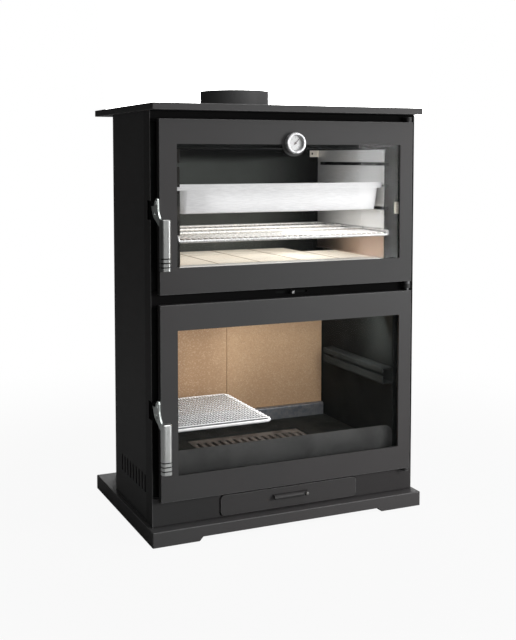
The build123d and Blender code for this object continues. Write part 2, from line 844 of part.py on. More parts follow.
# Oven liners: folded stainless sheets whose slots carry the rack and the tray
liner_x = liner_width / 2
liner_top = oven_ceiling - liner_top_gap
slot_levels = [tile_top + liner_first_slot + level * liner_slot_pitch for level in range(liner_slots)]
with BuildPart() as oven_liner_right:
    liner_points = [
        (liner_x + liner_flange, at(liner_front_depth)),
        (liner_x, at(liner_front_depth)),
        (liner_x, at(oven_back_depth)),
    ]
    extrude(
        folded(Plane.XY.offset(tile_top), liner_points, liner_sheet, Side.RIGHT, thin_bend),
        amount=liner_top - tile_top,
    )
    with BuildSketch(Plane.XY.offset(tile_top)):
        with Locations((liner_x - liner_foot / 2, at((tile_front_depth + liner_slot_end_depth) / 2))):
            Rectangle(liner_foot, liner_slot_end_depth - tile_front_depth)
    extrude(amount=liner_sheet)
    with BuildSketch(facing(oven_back_depth - liner_sheet)):
        with Locations((liner_x - liner_tab_width / 2, liner_top - liner_tab_height / 2)):
            Rectangle(liner_tab_width, liner_tab_height)
        with Locations((liner_x - liner_tab_height, liner_top - liner_tab_height / 2)):
            Circle(liner_tab_hole / 2, mode=Mode.SUBTRACT)
    extrude(amount=-liner_sheet)
    with BuildSketch(Plane.YZ.offset(liner_x)):
        for level in slot_levels:
            with Locations((at((liner_front_depth + liner_slot_end_depth) / 2), level)):
                Rectangle(liner_slot_end_depth - liner_front_depth, liner_slot_height)
    extrude(amount=liner_slot_reach, mode=Mode.SUBTRACT)
finish(oven_liner_right, "oven_liner_right")

with BuildPart() as oven_liner_left:
    add(mirror(oven_liner_right.part, about=Plane.YZ, mode=Mode.PRIVATE))
finish(oven_liner_left, "oven_liner_left")


# Oven rack: a bent rod loop that runs in the lowest slots, its front rod dipped, with wires along the depth
rack_half_width = liner_x + rack_slot_reach
rack_rear_depth = liner_slot_end_depth - rack_rear_gap
rack_wires = 2 * int((liner_x - rack_wire_margin) / rack_wire_pitch) + 1
rack_level = slot_levels[0] - liner_slot_height / 2 + rack_rod / 2 + runner_gap
rack_wire_level = rack_level - rack_dip + (rack_rod + rack_wire) / 2 - runner_gap
with BuildPart() as oven_rack:
    with BuildLine() as loop:
        FilletPolyline(
            (-rack_half_width, at(rack_front_depth), rack_level - rack_dip),
            (rack_half_width, at(rack_front_depth), rack_level - rack_dip),
            (rack_half_width, at(rack_front_depth), rack_level),
            (rack_half_width, at(rack_rear_depth), rack_level),
            (-rack_half_width, at(rack_rear_depth), rack_level),
            (-rack_half_width, at(rack_front_depth), rack_level),
            radius=rack_bend,
            close=True,
        )
    with BuildSketch(Plane(origin=loop.line @ 0, z_dir=loop.line % 0)):
        Circle(rack_rod / 2)
    sweep()
    with BuildSketch(facing(rack_front_depth)):
        with Locations((0, rack_wire_level)):
            with GridLocations(rack_wire_pitch, 0, rack_wires, 1):
                RegularPolygon(rack_wire / 2, wire_sides)
    extrude(amount=rack_front_depth - rack_rear_depth)
    cross_step = (rack_rear_depth - rack_front_depth) / (rack_cross_rods + 1)
    with BuildSketch(Plane.YZ.offset(-rack_half_width)):
        for rod in range(rack_cross_rods):
            with Locations((at(rack_front_depth + (rod + 1) * cross_step), rack_level)):
                RegularPolygon(rack_cross_radius, wire_sides)
    extrude(amount=2 * rack_half_width)
finish(oven_rack, "oven_rack")


# Baking tray: drawn pan with side flanges that ride in the third slots, and an upright front lip
tray_width = liner_width - 2 * tray_side_gap
tray_flange = tray_side_gap + tray_slot_reach
tray_length = oven_back_depth - tray_back_gap - tray_front_depth
tray_top = slot_levels[2] - liner_slot_height / 2 + runner_gap + tray_sheet
tray_front_y = at(tray_front_depth)
tray_middle_y = tray_front_y + tray_length / 2
tray_flange_length = liner_slot_end_depth - runner_gap - tray_front_depth
with BuildPart() as baking_tray:
    with BuildSketch(Plane.XY.offset(tray_top)):
        with Locations((0, tray_middle_y)):
            RectangleRounded(tray_width, tray_length, tray_corner)
    extrude(amount=-tray_height, taper=tray_draft)
    fillet(baking_tray.faces().sort_by(Axis.Z)[0].edges(), tray_floor_radius)
    with BuildSketch(Plane.XY.offset(tray_top)):
        with Locations((0, tray_middle_y)):
            RectangleRounded(tray_width - 2 * tray_sheet, tray_length - 2 * tray_sheet, tray_corner - tray_sheet)
    extrude(amount=tray_sheet - tray_height, taper=tray_draft, mode=Mode.SUBTRACT)
    with BuildSketch(Plane.XY.offset(tray_top - tray_sheet)):
        with Locations((0, tray_middle_y)):
            RectangleRounded(tray_width, tray_length, tray_corner)
        with Locations((0, tray_front_y + tray_flange_length / 2)):
            Rectangle(tray_width + 2 * tray_flange, tray_flange_length)
        with Locations((0, tray_middle_y)):
            RectangleRounded(
                tray_width - 2 * tray_sheet, tray_length - 2 * tray_sheet, tray_corner - tray_sheet,
                mode=Mode.SUBTRACT,
            )
    extrude(amount=tray_sheet)
    with BuildSketch(facing(tray_front_depth)):
        with Locations((0, tray_top + tray_lip / 2 - tray_sheet / 2)):
            Rectangle(liner_width - 2 * runner_gap, tray_lip + tray_sheet)
    extrude(amount=-tray_sheet)
finish(baking_tray, "baking_tray")


# Top plate and flue collar
top_middle_y = at(top_depth / 2 - top_overhang)
collar_y = at(collar_depth)
with BuildPart() as top_plate:
    with BuildSketch(Plane.XY.offset(body_top)):
        with Locations((0, top_middle_y)):
            Rectangle(top_width, top_depth)
        with Locations((0, collar_y)):
            Circle(collar_radius - collar_wall, mode=Mode.SUBTRACT)
    extrude(amount=top_thickness)
    fillet(top_plate.edges().filter_by(Axis.Z).filter_by(GeomType.LINE), top_corner)
    fillet(top_plate.faces().sort_by(Axis.Z)[-1].outer_wire().edges(), top_edge)
    fillet(top_plate.faces().sort_by(Axis.Z)[0].outer_wire().edges(), top_edge)
finish(top_plate, "top_plate")

with BuildPart() as flue_collar:
    with BuildSketch(Plane.XZ.offset(-collar_y)):
        with BuildLine():
            Polyline(
                (collar_radius - collar_wall, top_face),
                (collar_radius, top_face),
                (collar_radius, top_face + collar_height),
                (collar_radius - collar_wall, top_face + collar_height),
                close=True,
            )
        make_face()
    revolve(axis=Axis((0, collar_y, 0), (0, 0, 1)))
finish(flue_collar, "flue_collar")


# Cladding: side panels with a row of air slots, and the rear heat shield on its spacers
panel_face_x = frame_width / 2 - panel_step
panel_end_depth = carcass_depth - panel_rear_setback
with BuildPart() as side_panel_right:
    panel_points = [
        (panel_face_x - panel_flange, at(frame_side_depth)),
        (panel_face_x, at(frame_side_depth)),
        (panel_face_x, at(panel_end_depth)),
        (carcass_half, at(panel_end_depth)),
    ]
    extrude(folded(Plane.XY.offset(plinth_height), panel_points, panel_sheet), amount=body_height)
    vent_middle_y = at(vent_first_depth + (vents - 1) * vent_pitch / 2)
    with BuildSketch(Plane.YZ.offset(panel_face_x)):
        with Locations((vent_middle_y, plinth_height + vent_rise + vent_height / 2)):
            with GridLocations(vent_pitch, 0, vents, 1):
                SlotOverall(vent_height, vent_width, rotation=90)
    extrude(amount=-panel_sheet, mode=Mode.SUBTRACT)
finish(side_panel_right, "side_panel_right")

with BuildPart() as side_panel_left:
    add(mirror(side_panel_right.part, about=Plane.YZ, mode=Mode.PRIVATE))
finish(side_panel_left, "side_panel_left")

shield_front_depth = carcass_depth + shield_gap
shield_width = 2 * (carcass_half - shield_side_margin)
shield_bottom = plinth_height + shield_bottom_margin
shield_top = body_top - shield_top_margin
shield_middle_z = (shield_bottom + shield_top) / 2
spacer_spread_z = shield_top - shield_bottom - 2 * spacer_inset
with BuildPart() as rear_shield:
    with BuildSketch(facing(shield_front_depth)):
        with Locations((0, shield_middle_z)):
            RectangleRounded(shield_width, shield_top - shield_bottom, shield_corner)
            with GridLocations(2 * spacer_x, spacer_spread_z, 2, 2):
                Circle(bolt_radius, mode=Mode.SUBTRACT)
    extrude(amount=-shield_sheet)
finish(rear_shield, "rear_shield")

with BuildPart() as shield_spacers:
    with BuildSketch(facing(carcass_depth)):
        with Locations((0, shield_middle_z)):
            with GridLocations(2 * spacer_x, spacer_spread_z, 2, 2):
                Circle(spacer_radius)
                Circle(bolt_radius, mode=Mode.SUBTRACT)
    extrude(amount=-shield_gap)
finish(shield_spacers, "shield_spacers")

with BuildPart() as shield_bolts:
    for bolt_part_radius, bolt_front, bolt_length in (
        (bolt_radius, carcass_depth, shield_gap + shield_sheet),
        (bolt_head_radius, shield_front_depth + shield_sheet, bolt_head_height),
    ):
        with BuildSketch(facing(bolt_front)):
            with Locations((0, shield_middle_z)):
                with GridLocations(2 * spacer_x, spacer_spread_z, 2, 2):
                    Circle(bolt_part_radius)
        extrude(amount=-bolt_length)
finish(shield_bolts, "shield_bolts")


def make_door(prefix, bottom, height, window_rise, window_height, clip_reach, clip_z, has_gauge):
    """One door: frame, glass, rope seal and the clips that hold the glass."""
    middle = bottom + height / 2
    window_middle = bottom + window_rise + window_height / 2
    seat_width = window_width + 2 * glass_lap
    seat_height = window_height + 2 * glass_lap
    groove_width_outer = 2 * (block_half - rope_inset)
    groove_height_outer = height - 2 * (door_block_inset + rope_inset)
    with BuildPart() as frame:
        with BuildSketch(facing(-door_proud)):
            with Locations((0, middle)):
                Rectangle(door_width, height)
        extrude(amount=-door_ring_depth)
        hinge_edge = frame.edges().filter_by(Axis.Z).group_by(Axis.X)[-1].sort_by(Axis.Y)[-1]
        fillet(hinge_edge, hinge_edge_radius)
        fillet(frame.faces().sort_by(Axis.Y)[0].outer_wire().edges(), door_edge_radius)
        with BuildSketch(facing(door_ring_depth - door_proud)):
            with Locations((0, middle)):
                Rectangle(2 * block_half, height - 2 * door_block_inset)
        extrude(amount=-door_block_depth)
        with BuildSketch(facing(block_rear_depth)):
            with Locations((window_x, window_middle)):
                Rectangle(seat_width, seat_height)
        extrude(amount=block_rear_depth - glass_front_depth, mode=Mode.SUBTRACT)
        with BuildSketch(facing(glass_front_depth)):
            with Locations((window_x, window_middle)):
                RectangleRounded(window_width, window_height, window_corner)
            if has_gauge:
                with Locations((gauge_x, gauge_z)):
                    Circle(gauge_tab_radius, mode=Mode.SUBTRACT)
        extrude(amount=door_face_thickness, mode=Mode.SUBTRACT)
        with BuildSketch(facing(block_rear_depth)):
            with Locations((0, middle)):
                Rectangle(groove_width_outer, groove_height_outer)
                Rectangle(
                    groove_width_outer - 2 * rope_width, groove_height_outer - 2 * rope_width,
                    mode=Mode.SUBTRACT,
                )
        extrude(amount=rope_groove_depth, mode=Mode.SUBTRACT)
        for bore_z in (bottom, bottom + height - pin_engagement - bore_extra):
            with BuildSketch(Plane.XY.offset(bore_z)):
                with Locations((hinge_x, at(hinge_depth))):
                    Circle(pin_radius + pin_play)
            extrude(amount=pin_engagement + bore_extra, mode=Mode.SUBTRACT)
        with BuildSketch(Plane.YZ.offset(-door_half)):
            with Locations((at(arm_pivot_depth), oven_pivot_z if has_gauge else firebox_pivot_z)):
                Circle(pivot_radius)
        extrude(amount=pivot_seat, mode=Mode.SUBTRACT)
        if has_gauge:
            with BuildSketch(facing(-door_proud)):
                with Locations((gauge_x, gauge_z)):
                    Circle(gauge_stem_radius + gauge_stem_play)
            extrude(amount=-door_face_thickness, mode=Mode.SUBTRACT)
    finish(frame, prefix + "_door_frame")

    with BuildPart() as glass:
        with BuildSketch(facing(glass_front_depth)):
            with Locations((window_x, window_middle)):
                Rectangle(seat_width - 2 * glass_play, seat_height - 2 * glass_play)
            if has_gauge:
                with Locations((gauge_x, gauge_z)):
                    Circle(gauge_stem_radius + gauge_glass_play, mode=Mode.SUBTRACT)
        extrude(amount=-glass_thickness)
    finish(glass, prefix + "_door_glass")

    with BuildPart() as rope:
        with BuildSketch(facing(block_rear_depth - rope_groove_depth)):
            with Locations((0, middle)):
                Rectangle(groove_width_outer, groove_height_outer)
                Rectangle(
                    groove_width_outer - 2 * rope_width, groove_height_outer - 2 * rope_width,
                    mode=Mode.SUBTRACT,
                )
        extrude(amount=-(seal_depth - rope_gap - block_rear_depth + rope_groove_depth))
        fillet(rope.faces().sort_by(Axis.Y)[-1].edges(), rope_crown)
    finish(rope, prefix + "_door_rope")

    clip_front = at(glass_front_depth + glass_thickness)
    with BuildPart() as clips:
        for hand in (-1, 1):
            edge_x = window_x + hand * seat_width / 2
            edge_z = window_middle + hand * seat_height / 2
            inward = Side.LEFT if hand > 0 else Side.RIGHT
            side_points = [
                (edge_x - hand * clip_reach, clip_front),
                (edge_x, clip_front),
                (edge_x, clip_front + clip_drop),
            ]
            extrude(
                folded(Plane.XY.offset(clip_z - clip_width / 2), side_points, clip_sheet, inward),
                amount=clip_width,
            )
            level_points = [
                (clip_front, edge_z - hand * short_clip_reach),
                (clip_front, edge_z),
                (clip_front + clip_drop, edge_z),
            ]
            inward = Side.RIGHT if hand > 0 else Side.LEFT
            extrude(
                folded(Plane.YZ.offset(window_x - clip_offset - clip_width / 2), level_points, clip_sheet, inward),
                amount=clip_width,
            )
    finish(clips, prefix + "_glass_clips")


oven_window_height = oven_door_height - oven_window_bottom - oven_window_top
firebox_window_height = firebox_door_height - firebox_window_bottom - firebox_window_top
make_door(
    "oven", oven_door_bottom, oven_door_height, oven_window_bottom, oven_window_height,
    oven_clip_reach, oven_door_bottom + oven_clip_height, True,
)
make_door(
    "firebox", firebox_door_bottom, firebox_door_height, firebox_window_bottom, firebox_window_height,
    short_clip_reach, firebox_door_bottom + firebox_door_height / 2, False,
)


# Hinges: three eye brackets on the front frame and the pins that the doors turn on
bracket_levels = [
    (firebox_door_bottom - bracket_clearance - lower_bracket_thickness, lower_bracket_thickness),
    (firebox_door_top + (door_gap - bracket_thickness) / 2, bracket_thickness),
    (oven_door_top + bracket_clearance, bracket_thickness),
]
with BuildPart() as hinge_brackets:
    for bracket_bottom, thickness in bracket_levels:
        with BuildSketch(Plane.XY.offset(bracket_bottom)):
            with Locations((hinge_x, at(hinge_depth))):
                Circle(bracket_radius)
            with Locations((hinge_x, at(hinge_depth / 2))):
                Rectangle(2 * bracket_radius, -hinge_depth)
            with Locations((hinge_x, at(hinge_depth))):
                Circle(pin_radius, mode=Mode.SUBTRACT)
        extrude(amount=thickness)
finish(hinge_brackets, "hinge_brackets")

middle_bracket_top = bracket_levels[1][0] + bracket_thickness
lower_bracket_top = firebox_door_bottom - bracket_clearance
pins = [
    (bracket_levels[0][0], firebox_door_bottom + pin_engagement),
    (firebox_door_top - pin_engagement, oven_door_bottom + pin_engagement),
    (oven_door_top - pin_engagement, bracket_levels[2][0] + bracket_thickness),
]
washers = [
    (lower_bracket_top, firebox_door_bottom - pin_washer_gap),
    (middle_bracket_top, oven_door_bottom - pin_washer_gap),
]
with BuildPart() as hinge_pins:
    for lengths, radius in ((pins, pin_radius), (washers, pin_washer_radius)):
        for low, high in lengths:
            with BuildSketch(Plane.XY.offset(low)):
                with Locations((hinge_x, at(hinge_depth))):
                    Circle(radius)
            extrude(amount=high - low)
finish(hinge_pins, "hinge_pins")


# Door handles: a bent-hook plate on a pivot in the door's edge, its tongue let into a grooved grip
grip_x = arm_outer_x - grip_proud + grip_width / 2
grip_y = at(grip_depth / 2 - grip_reach)
for prefix, pivot_z in (("oven", oven_pivot_z), ("firebox", firebox_pivot_z)):
    pivot_y = at(arm_pivot_depth)
    grip_back = grip_y + grip_depth / 2 - pivot_y
    tongue_bottom = -grip_drop - tongue_height - grip_tongue_cover
    with BuildPart() as arm:
        with BuildSketch(Plane(origin=(arm_outer_x, pivot_y, pivot_z), x_dir=(0, 1, 0), z_dir=(1, 0, 0))):
            with BuildLine():
                rear = Polyline((-2.3, 12.5), (1.3, 5.1), (8.4, 3.2), (17.9, 4.1), (13.8, -2.7), (7.0, -13.5))
                belly = Spline(
                    rear @ 1,
                    (-10.2, -23.7),
                    (grip_back - 0.5, tongue_bottom + 3.0),
                    tangents=((-0.6, -0.8), (-1.0, -0.3)),
                )
                tongue = Polyline(
                    belly @ 1,
                    (grip_back - tongue_length, tongue_bottom),
                    (grip_back - tongue_length, tongue_bottom + tongue_height),
                    (grip_back - 6.5, -grip_drop - 0.6),
                )
                front = Spline(tongue @ 1, (-25.5, -11.0), (-20.0, 2.0), tangents=((1.0, 0.25), (0.05, 1.0)))
                nose = Line(front @ 1, (-20.0, 14.0))
                tip = ThreePointArc(nose @ 1, (-15.5, 19.2), (-9.5, 17.5))
                Line(tip @ 1, rear @ 0)
            make_face()
            Circle(pivot_radius + pin_play, mode=Mode.SUBTRACT)
            with Locations(upper_slot_place):
                SlotOverall(upper_slot_length, upper_slot_width, rotation=90, mode=Mode.SUBTRACT)
            with Locations(lower_slot_place):
                SlotOverall(lower_slot_length, lower_slot_width, rotation=lower_slot_turn, mode=Mode.SUBTRACT)
        extrude(amount=arm_thickness)
    finish(arm, prefix + "_handle_arm")

    grip_bottom = pivot_z - grip_drop - grip_length
    with BuildPart() as grip:
        with BuildSketch(Plane.XY.offset(grip_bottom)):
            with Locations((grip_x, grip_y)):
                RectangleRounded(grip_width, grip_depth, grip_corner)
        extrude(amount=grip_length)
        chamfer(grip.faces().sort_by(Axis.Z)[-1].edges(), door_edge_radius)
        chamfer(grip.faces().sort_by(Axis.Z)[0].edges(), door_edge_radius)
        for groove in range(grooves):
            with BuildSketch(Plane.XY.offset(grip_bottom + (groove + 1) * groove_pitch - groove_width / 2)):
                with Locations((grip_x, grip_y)):
                    Rectangle(grip_width, grip_depth)
                    RectangleRounded(
                        grip_width - 2 * groove_depth, grip_depth - 2 * groove_depth,
                        grip_corner - groove_depth, mode=Mode.SUBTRACT,
                    )
            extrude(amount=groove_width, mode=Mode.SUBTRACT)
        add(arm.part, mode=Mode.SUBTRACT)
    finish(grip, prefix + "_handle_grip")

    with BuildPart() as pivot:
        with BuildSketch(Plane(origin=(arm_outer_x, pivot_y, pivot_z), x_dir=(0, 1, 0), z_dir=(1, 0, 0))):
            Circle(pivot_radius)
        extrude(amount=arm_thickness + arm_offset + pivot_seat)
        shoulder_x = arm_outer_x + arm_thickness + pin_washer_gap
        with BuildSketch(Plane(origin=(shoulder_x, pivot_y, pivot_z), x_dir=(0, 1, 0), z_dir=(1, 0, 0))):
            Circle(pivot_shoulder_radius)
        extrude(amount=arm_offset - pin_washer_gap)
    finish(pivot, prefix + "_handle_pivot")


# Keepers: a lug on the sealing frame beside each hook, with a stud over the hook's nose
with BuildPart() as latch_keepers:
    lug_x = arm_outer_x + arm_thickness + keeper_gap
    for pivot_z in (oven_pivot_z, firebox_pivot_z):
        stud_z = pivot_z + keeper_rise
        with BuildSketch(Plane.YZ.offset(lug_x)):
            with Locations((at(keeper_depth), stud_z)):
                Circle(keeper_lug_radius)
            with Locations((at((keeper_depth + seal_depth) / 2), stud_z)):
                Rectangle(seal_depth - keeper_depth, 2 * keeper_lug_radius)
        extrude(amount=keeper_sheet)
        with BuildSketch(Plane.YZ.offset(lug_x)):
            with Locations((at(keeper_depth), stud_z)):
                Circle(keeper_radius)
        extrude(amount=-keeper_length)
finish(latch_keepers, "latch_keepers")


# Thermometer: case with a stem through the door, dial, needle on its spindle, and lens
gauge_front_depth = -door_proud - gauge_height
gauge_inner_radius = gauge_radius - gauge_wall
dial_depth = -door_proud - gauge_floor - dial_thickness
needle_depth = dial_depth - needle_lift - needle_thickness
with BuildPart() as thermometer_case:
    with BuildSketch(facing(gauge_front_depth)):
        with Locations((gauge_x, gauge_z)):
            Circle(gauge_radius)
    extrude(amount=-gauge_height)
    fillet(thermometer_case.faces().sort_by(Axis.Y)[0].edges(), door_edge_radius)
    for layer_depth, layer_radius, layer_length, layer_mode in (
        (gauge_front_depth, gauge_inner_radius, gauge_height - gauge_floor, Mode.SUBTRACT),
        (needle_depth, spindle_radius, -door_proud - gauge_floor - needle_depth, Mode.ADD),
        (-door_proud, gauge_stem_radius, gauge_stem_length, Mode.ADD),
    ):
        with BuildSketch(facing(layer_depth)):
            with Locations((gauge_x, gauge_z)):
                Circle(layer_radius)
        extrude(amount=-layer_length, mode=layer_mode)
finish(thermometer_case, "thermometer_case")

with BuildPart() as thermometer_dial:
    with BuildSketch(facing(dial_depth)):
        with Locations((gauge_x, gauge_z)):
            Circle(gauge_inner_radius - gauge_stem_play)
            Circle(spindle_radius + pin_play, mode=Mode.SUBTRACT)
    extrude(amount=-dial_thickness)
finish(thermometer_dial, "thermometer_dial")

with BuildPart() as thermometer_needle:
    with BuildSketch(Plane(origin=(gauge_x, at(needle_depth), gauge_z), x_dir=(1, 0, 1), z_dir=(0, -1, 0))):
        with BuildLine():
            Polyline(
                (-needle_tail, -needle_width / 2),
                (needle_length, -needle_point / 2),
                (needle_length, needle_point / 2),
                (-needle_tail, needle_width / 2),
                close=True,
            )
        make_face()
        Circle(needle_hub_radius)
        Circle(spindle_radius + pin_play, mode=Mode.SUBTRACT)
    extrude(amount=-needle_thickness)
finish(thermometer_needle, "thermometer_needle")

with BuildPart() as thermometer_lens:
    with BuildSketch(facing(gauge_front_depth + lens_setback)):
        with Locations((gauge_x, gauge_z)):
            Circle(gauge_inner_radius - gauge_stem_play)
    extrude(amount=-lens_thickness)
finish(thermometer_lens, "thermometer_lens")


# Air slider: a strip behind the middle bar, moved by a small knob in front of it
slider_front_depth = bar_sheet + slider_play
with BuildPart() as air_slider:
    with BuildSketch(facing(slider_front_depth)):
        with Locations((slider_x, slider_z)):
            RectangleRounded(slider_length, slider_height, slider_corner)
    extrude(amount=-slider_sheet)
    with BuildSketch(facing(slider_front_depth)):
        with Locations((slider_x, slider_z)):
            Circle(slider_shank_radius)
    extrude(amount=slider_front_depth + knob_gap + knob_length / 2)
finish(air_slider, "air_slider")

with BuildPart() as air_knob:
    with BuildSketch(facing(-knob_gap)):
        with Locations((slider_x, slider_z)):
            Circle(knob_radius)
    extrude(amount=knob_length)
    fillet(air_knob.faces().sort_by(Axis.Y)[0].edges(), door_edge_radius)
    with BuildSketch(facing(-knob_gap)):
        with Locations((slider_x, slider_z)):
            Circle(slider_shank_radius)
    extrude(amount=knob_length / 2, mode=Mode.SUBTRACT)
finish(air_knob, "air_knob")
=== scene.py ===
import math
import bmesh
import bpy
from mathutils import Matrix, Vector


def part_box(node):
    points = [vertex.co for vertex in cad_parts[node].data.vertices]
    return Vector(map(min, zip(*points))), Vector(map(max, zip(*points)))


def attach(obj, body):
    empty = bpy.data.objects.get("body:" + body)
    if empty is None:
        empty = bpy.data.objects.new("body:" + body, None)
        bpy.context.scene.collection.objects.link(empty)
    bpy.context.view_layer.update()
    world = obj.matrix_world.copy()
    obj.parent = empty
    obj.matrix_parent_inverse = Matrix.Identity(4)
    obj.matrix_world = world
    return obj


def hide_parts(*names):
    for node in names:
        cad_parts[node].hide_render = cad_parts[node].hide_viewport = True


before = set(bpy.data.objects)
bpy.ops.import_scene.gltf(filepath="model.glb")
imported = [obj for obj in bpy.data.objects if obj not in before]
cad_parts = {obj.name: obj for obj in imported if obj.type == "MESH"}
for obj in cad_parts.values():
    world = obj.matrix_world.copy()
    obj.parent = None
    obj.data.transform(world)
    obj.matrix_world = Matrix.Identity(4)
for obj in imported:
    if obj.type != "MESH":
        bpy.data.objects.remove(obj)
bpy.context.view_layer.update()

# The shell: plinth, front frame, side panels, top plate, flue collar, rear shield, door frames, drawer front and pull.
# They are folded and welded sheet steel under a matt, heat-resistant, almost black paint with a fine grain.
# Handling rubs the paint lighter along the outer edges, which also paints highlights there, and painted shade blackens
# the front frame round the doors and under the top plate.
paint_grey = (0.038, 0.0373, 0.0376)
paint_green_tint = (0.98, 1.0, 1.0)
paint_warm_tint = (1.04, 0.99, 0.99)
paint_wear_and_highlight_grey = (0.2, 0.2, 0.2)
painted_shade_black = (0.001, 0.001, 0.001)
paint_grain_scale = 1300.0
paint_dimple_scale = 240.0
paint_cloud_scale = 7.0
paint_hue_scale = 3.0
paint_speck_share = 0.16
paint_cloud_share = 0.1
edge_wear_and_highlight_width = 0.0016
edge_wear_and_highlight_scale = 260.0
edge_wear_and_highlight_share = 0.55
painted_shade_foot_z = (0.125, 0.15)
painted_shade_top_z = (0.84, 0.85)
painted_shade_span_x = (-0.3, 0.1)
painted_shade_span_share = (0.9, 0.97)
frame_edge_x = 0.2878
frame_shaded_x = 0.2868
lip_shadow_start = 0.0034
lip_shadow_full = 0.0026
# Each part's paint is made darker or lighter by its own factor: painted light for how light falls on that part.
paint_light_levels = {
    "plinth": 1.3,
    "side_panel_left": 0.9,
    "side_panel_right": 1.0,
    "top_plate": 1.0,
    "flue_collar": 1.7,
    "rear_shield": 1.0,
    "oven_door_frame": 0.8,
    "firebox_door_frame": 1.04,
    "ash_drawer_front": 1.0,
    "hinge_brackets": 0.6,
}


class Wire:
    """One output of a shader node, so that sums and products of outputs can be written as they read."""

    def __init__(self, tree, socket=None):
        self.tree = tree
        self.socket = socket

    def node(self, kind, sockets, output=0, **settings):
        """Adds a node: its settings come first, then the values or links of its sockets."""
        made = self.tree.nodes.new(kind)
        for name, value in settings.items():
            setattr(made, name, value)
        for name, value in sockets.items():
            if isinstance(value, Wire):
                self.tree.links.new(value.socket, made.inputs[name])
            else:
                made.inputs[name].default_value = value
        return Wire(self.tree, made.outputs[output])

    def math(self, operation, *values):
        return self.node("ShaderNodeMath", dict(enumerate(values)), operation=operation)

    def __add__(self, other):
        return self.math("ADD", self, other)

    def __radd__(self, other):
        return self.math("ADD", other, self)

    def __sub__(self, other):
        return self.math("SUBTRACT", self, other)

    def __rsub__(self, other):
        return self.math("SUBTRACT", other, self)

    def __mul__(self, other):
        return self.math("MULTIPLY", self, other)

    def __rmul__(self, other):
        return self.math("MULTIPLY", other, self)

    def __abs__(self):
        return self.math("ABSOLUTE", self)

    def least(self, other):
        return self.math("MINIMUM", self, other)

    def most(self, other):
        return self.math("MAXIMUM", self, other)

    def folded(self, half_pitch):
        """This value folded to and fro between nothing and half a pitch, so that what it makes repeats."""
        return self.math("PINGPONG", self, half_pitch)

    def ramp(self, low, high, start=0.0, end=1.0):
        """This value taken from low..high to start..end, smoothly and without passing either end."""
        sockets = {"Value": self, "From Min": low, "From Max": high, "To Min": start, "To Max": end}
        return self.node("ShaderNodeMapRange", sockets, interpolation_type="SMOOTHSTEP")

    def spread(self, start=0.0, end=1.0):
        """Noise taken from the range that it mostly keeps to, to start..end."""
        return self.ramp(0.3, 0.7, start, end)

    def noise(self, scale, detail=2.0, roughness=0.5, distortion=0.0):
        """Noise over the place that this vector says."""
        sockets = {"Vector": self, "Scale": scale, "Detail": detail, "Roughness": roughness, "Distortion": distortion}
        return self.node("ShaderNodeTexNoise", sockets)

    def cells(self, scale, output=0):
        """Voronoi cells over the place that this vector says: the distance to a centre, or the cell's colour."""
        return self.node("ShaderNodeTexVoronoi", {"Vector": self, "Scale": scale}, output=output)

    def stretched(self, x, y, z):
        """This vector with each axis scaled, for streaks and grain."""
        return self.node("ShaderNodeVectorMath", {0: self, 1: (x, y, z)}, operation="MULTIPLY")

    def axis(self, index):
        return self.node("ShaderNodeSeparateXYZ", {0: self}, output=index)

    def mixed(self, low_colour, high_colour):
        """The colour between two, where this value says."""
        sockets = {0: self}
        for place, colour in ((6, low_colour), (7, high_colour)):
            sockets[place] = colour if isinstance(colour, Wire) else (*colour, 1.0)
        return self.node("ShaderNodeMix", sockets, output=2, data_type="RGBA")


class Finish:
    """A material with its surface shader; place is the point on the object that patterns read."""

    def __init__(self, name):
        self.material = bpy.data.materials.new(name)
        self.material.use_nodes = True
        self.tree = self.material.node_tree
        self.shader = self.tree.nodes["Principled BSDF"]
        self.place = Wire(self.tree).node("ShaderNodeTexCoord", {}, output=3)

    def set(self, **sockets):
        """Sets or links sockets of the surface shader, with underscores for the spaces in their names."""
        for name, value in sockets.items():
            socket = self.shader.inputs[name.replace("_", " ")]
            if isinstance(value, Wire):
                self.tree.links.new(value.socket, socket)
            else:
                socket.default_value = (*value, 1.0) if isinstance(value, tuple) else value

    def colour(self):
        """The colour that the surface has so far, for a mask to change in places."""
        return Wire(self.tree, self.shader.inputs["Base Color"].links[0].from_socket)

    def bump(self, height, strength, distance):
        """Raises the surface by height."""
        made = height.node("ShaderNodeBump", {"Height": height, "Strength": strength, "Distance": distance})
        self.set(Normal=made)

    def edge(self, node, width):
        """One along the outer edges of a CAD node's box, falling to nothing within the width."""
        low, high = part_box(node)
        depths = []
        for index in range(3):
            middle = (low[index] + high[index]) / 2
            half = (high[index] - low[index]) / 2
            depths.append(half - abs(self.place.axis(index) - middle))
        nearest = depths[0].least(depths[1])
        second = nearest.most(depths[0].most(depths[1]).least(depths[2]))
        return (second + self.place.noise(edge_wear_and_highlight_scale) * width).ramp(width * 0.4, width * 1.6, 1.0, 0.0)


def shade(colour, amount):
    """A colour made darker or lighter."""
    return tuple(channel * amount for channel in colour)


def tint(colour, other):
    """A colour filtered by another."""
    return tuple(channel * share for channel, share in zip(colour, other))


def dress(finish, *names):
    """Gives CAD nodes a finish."""
    for name in names:
        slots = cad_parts[name].data.materials
        slots.clear()
        slots.append(finish.material)


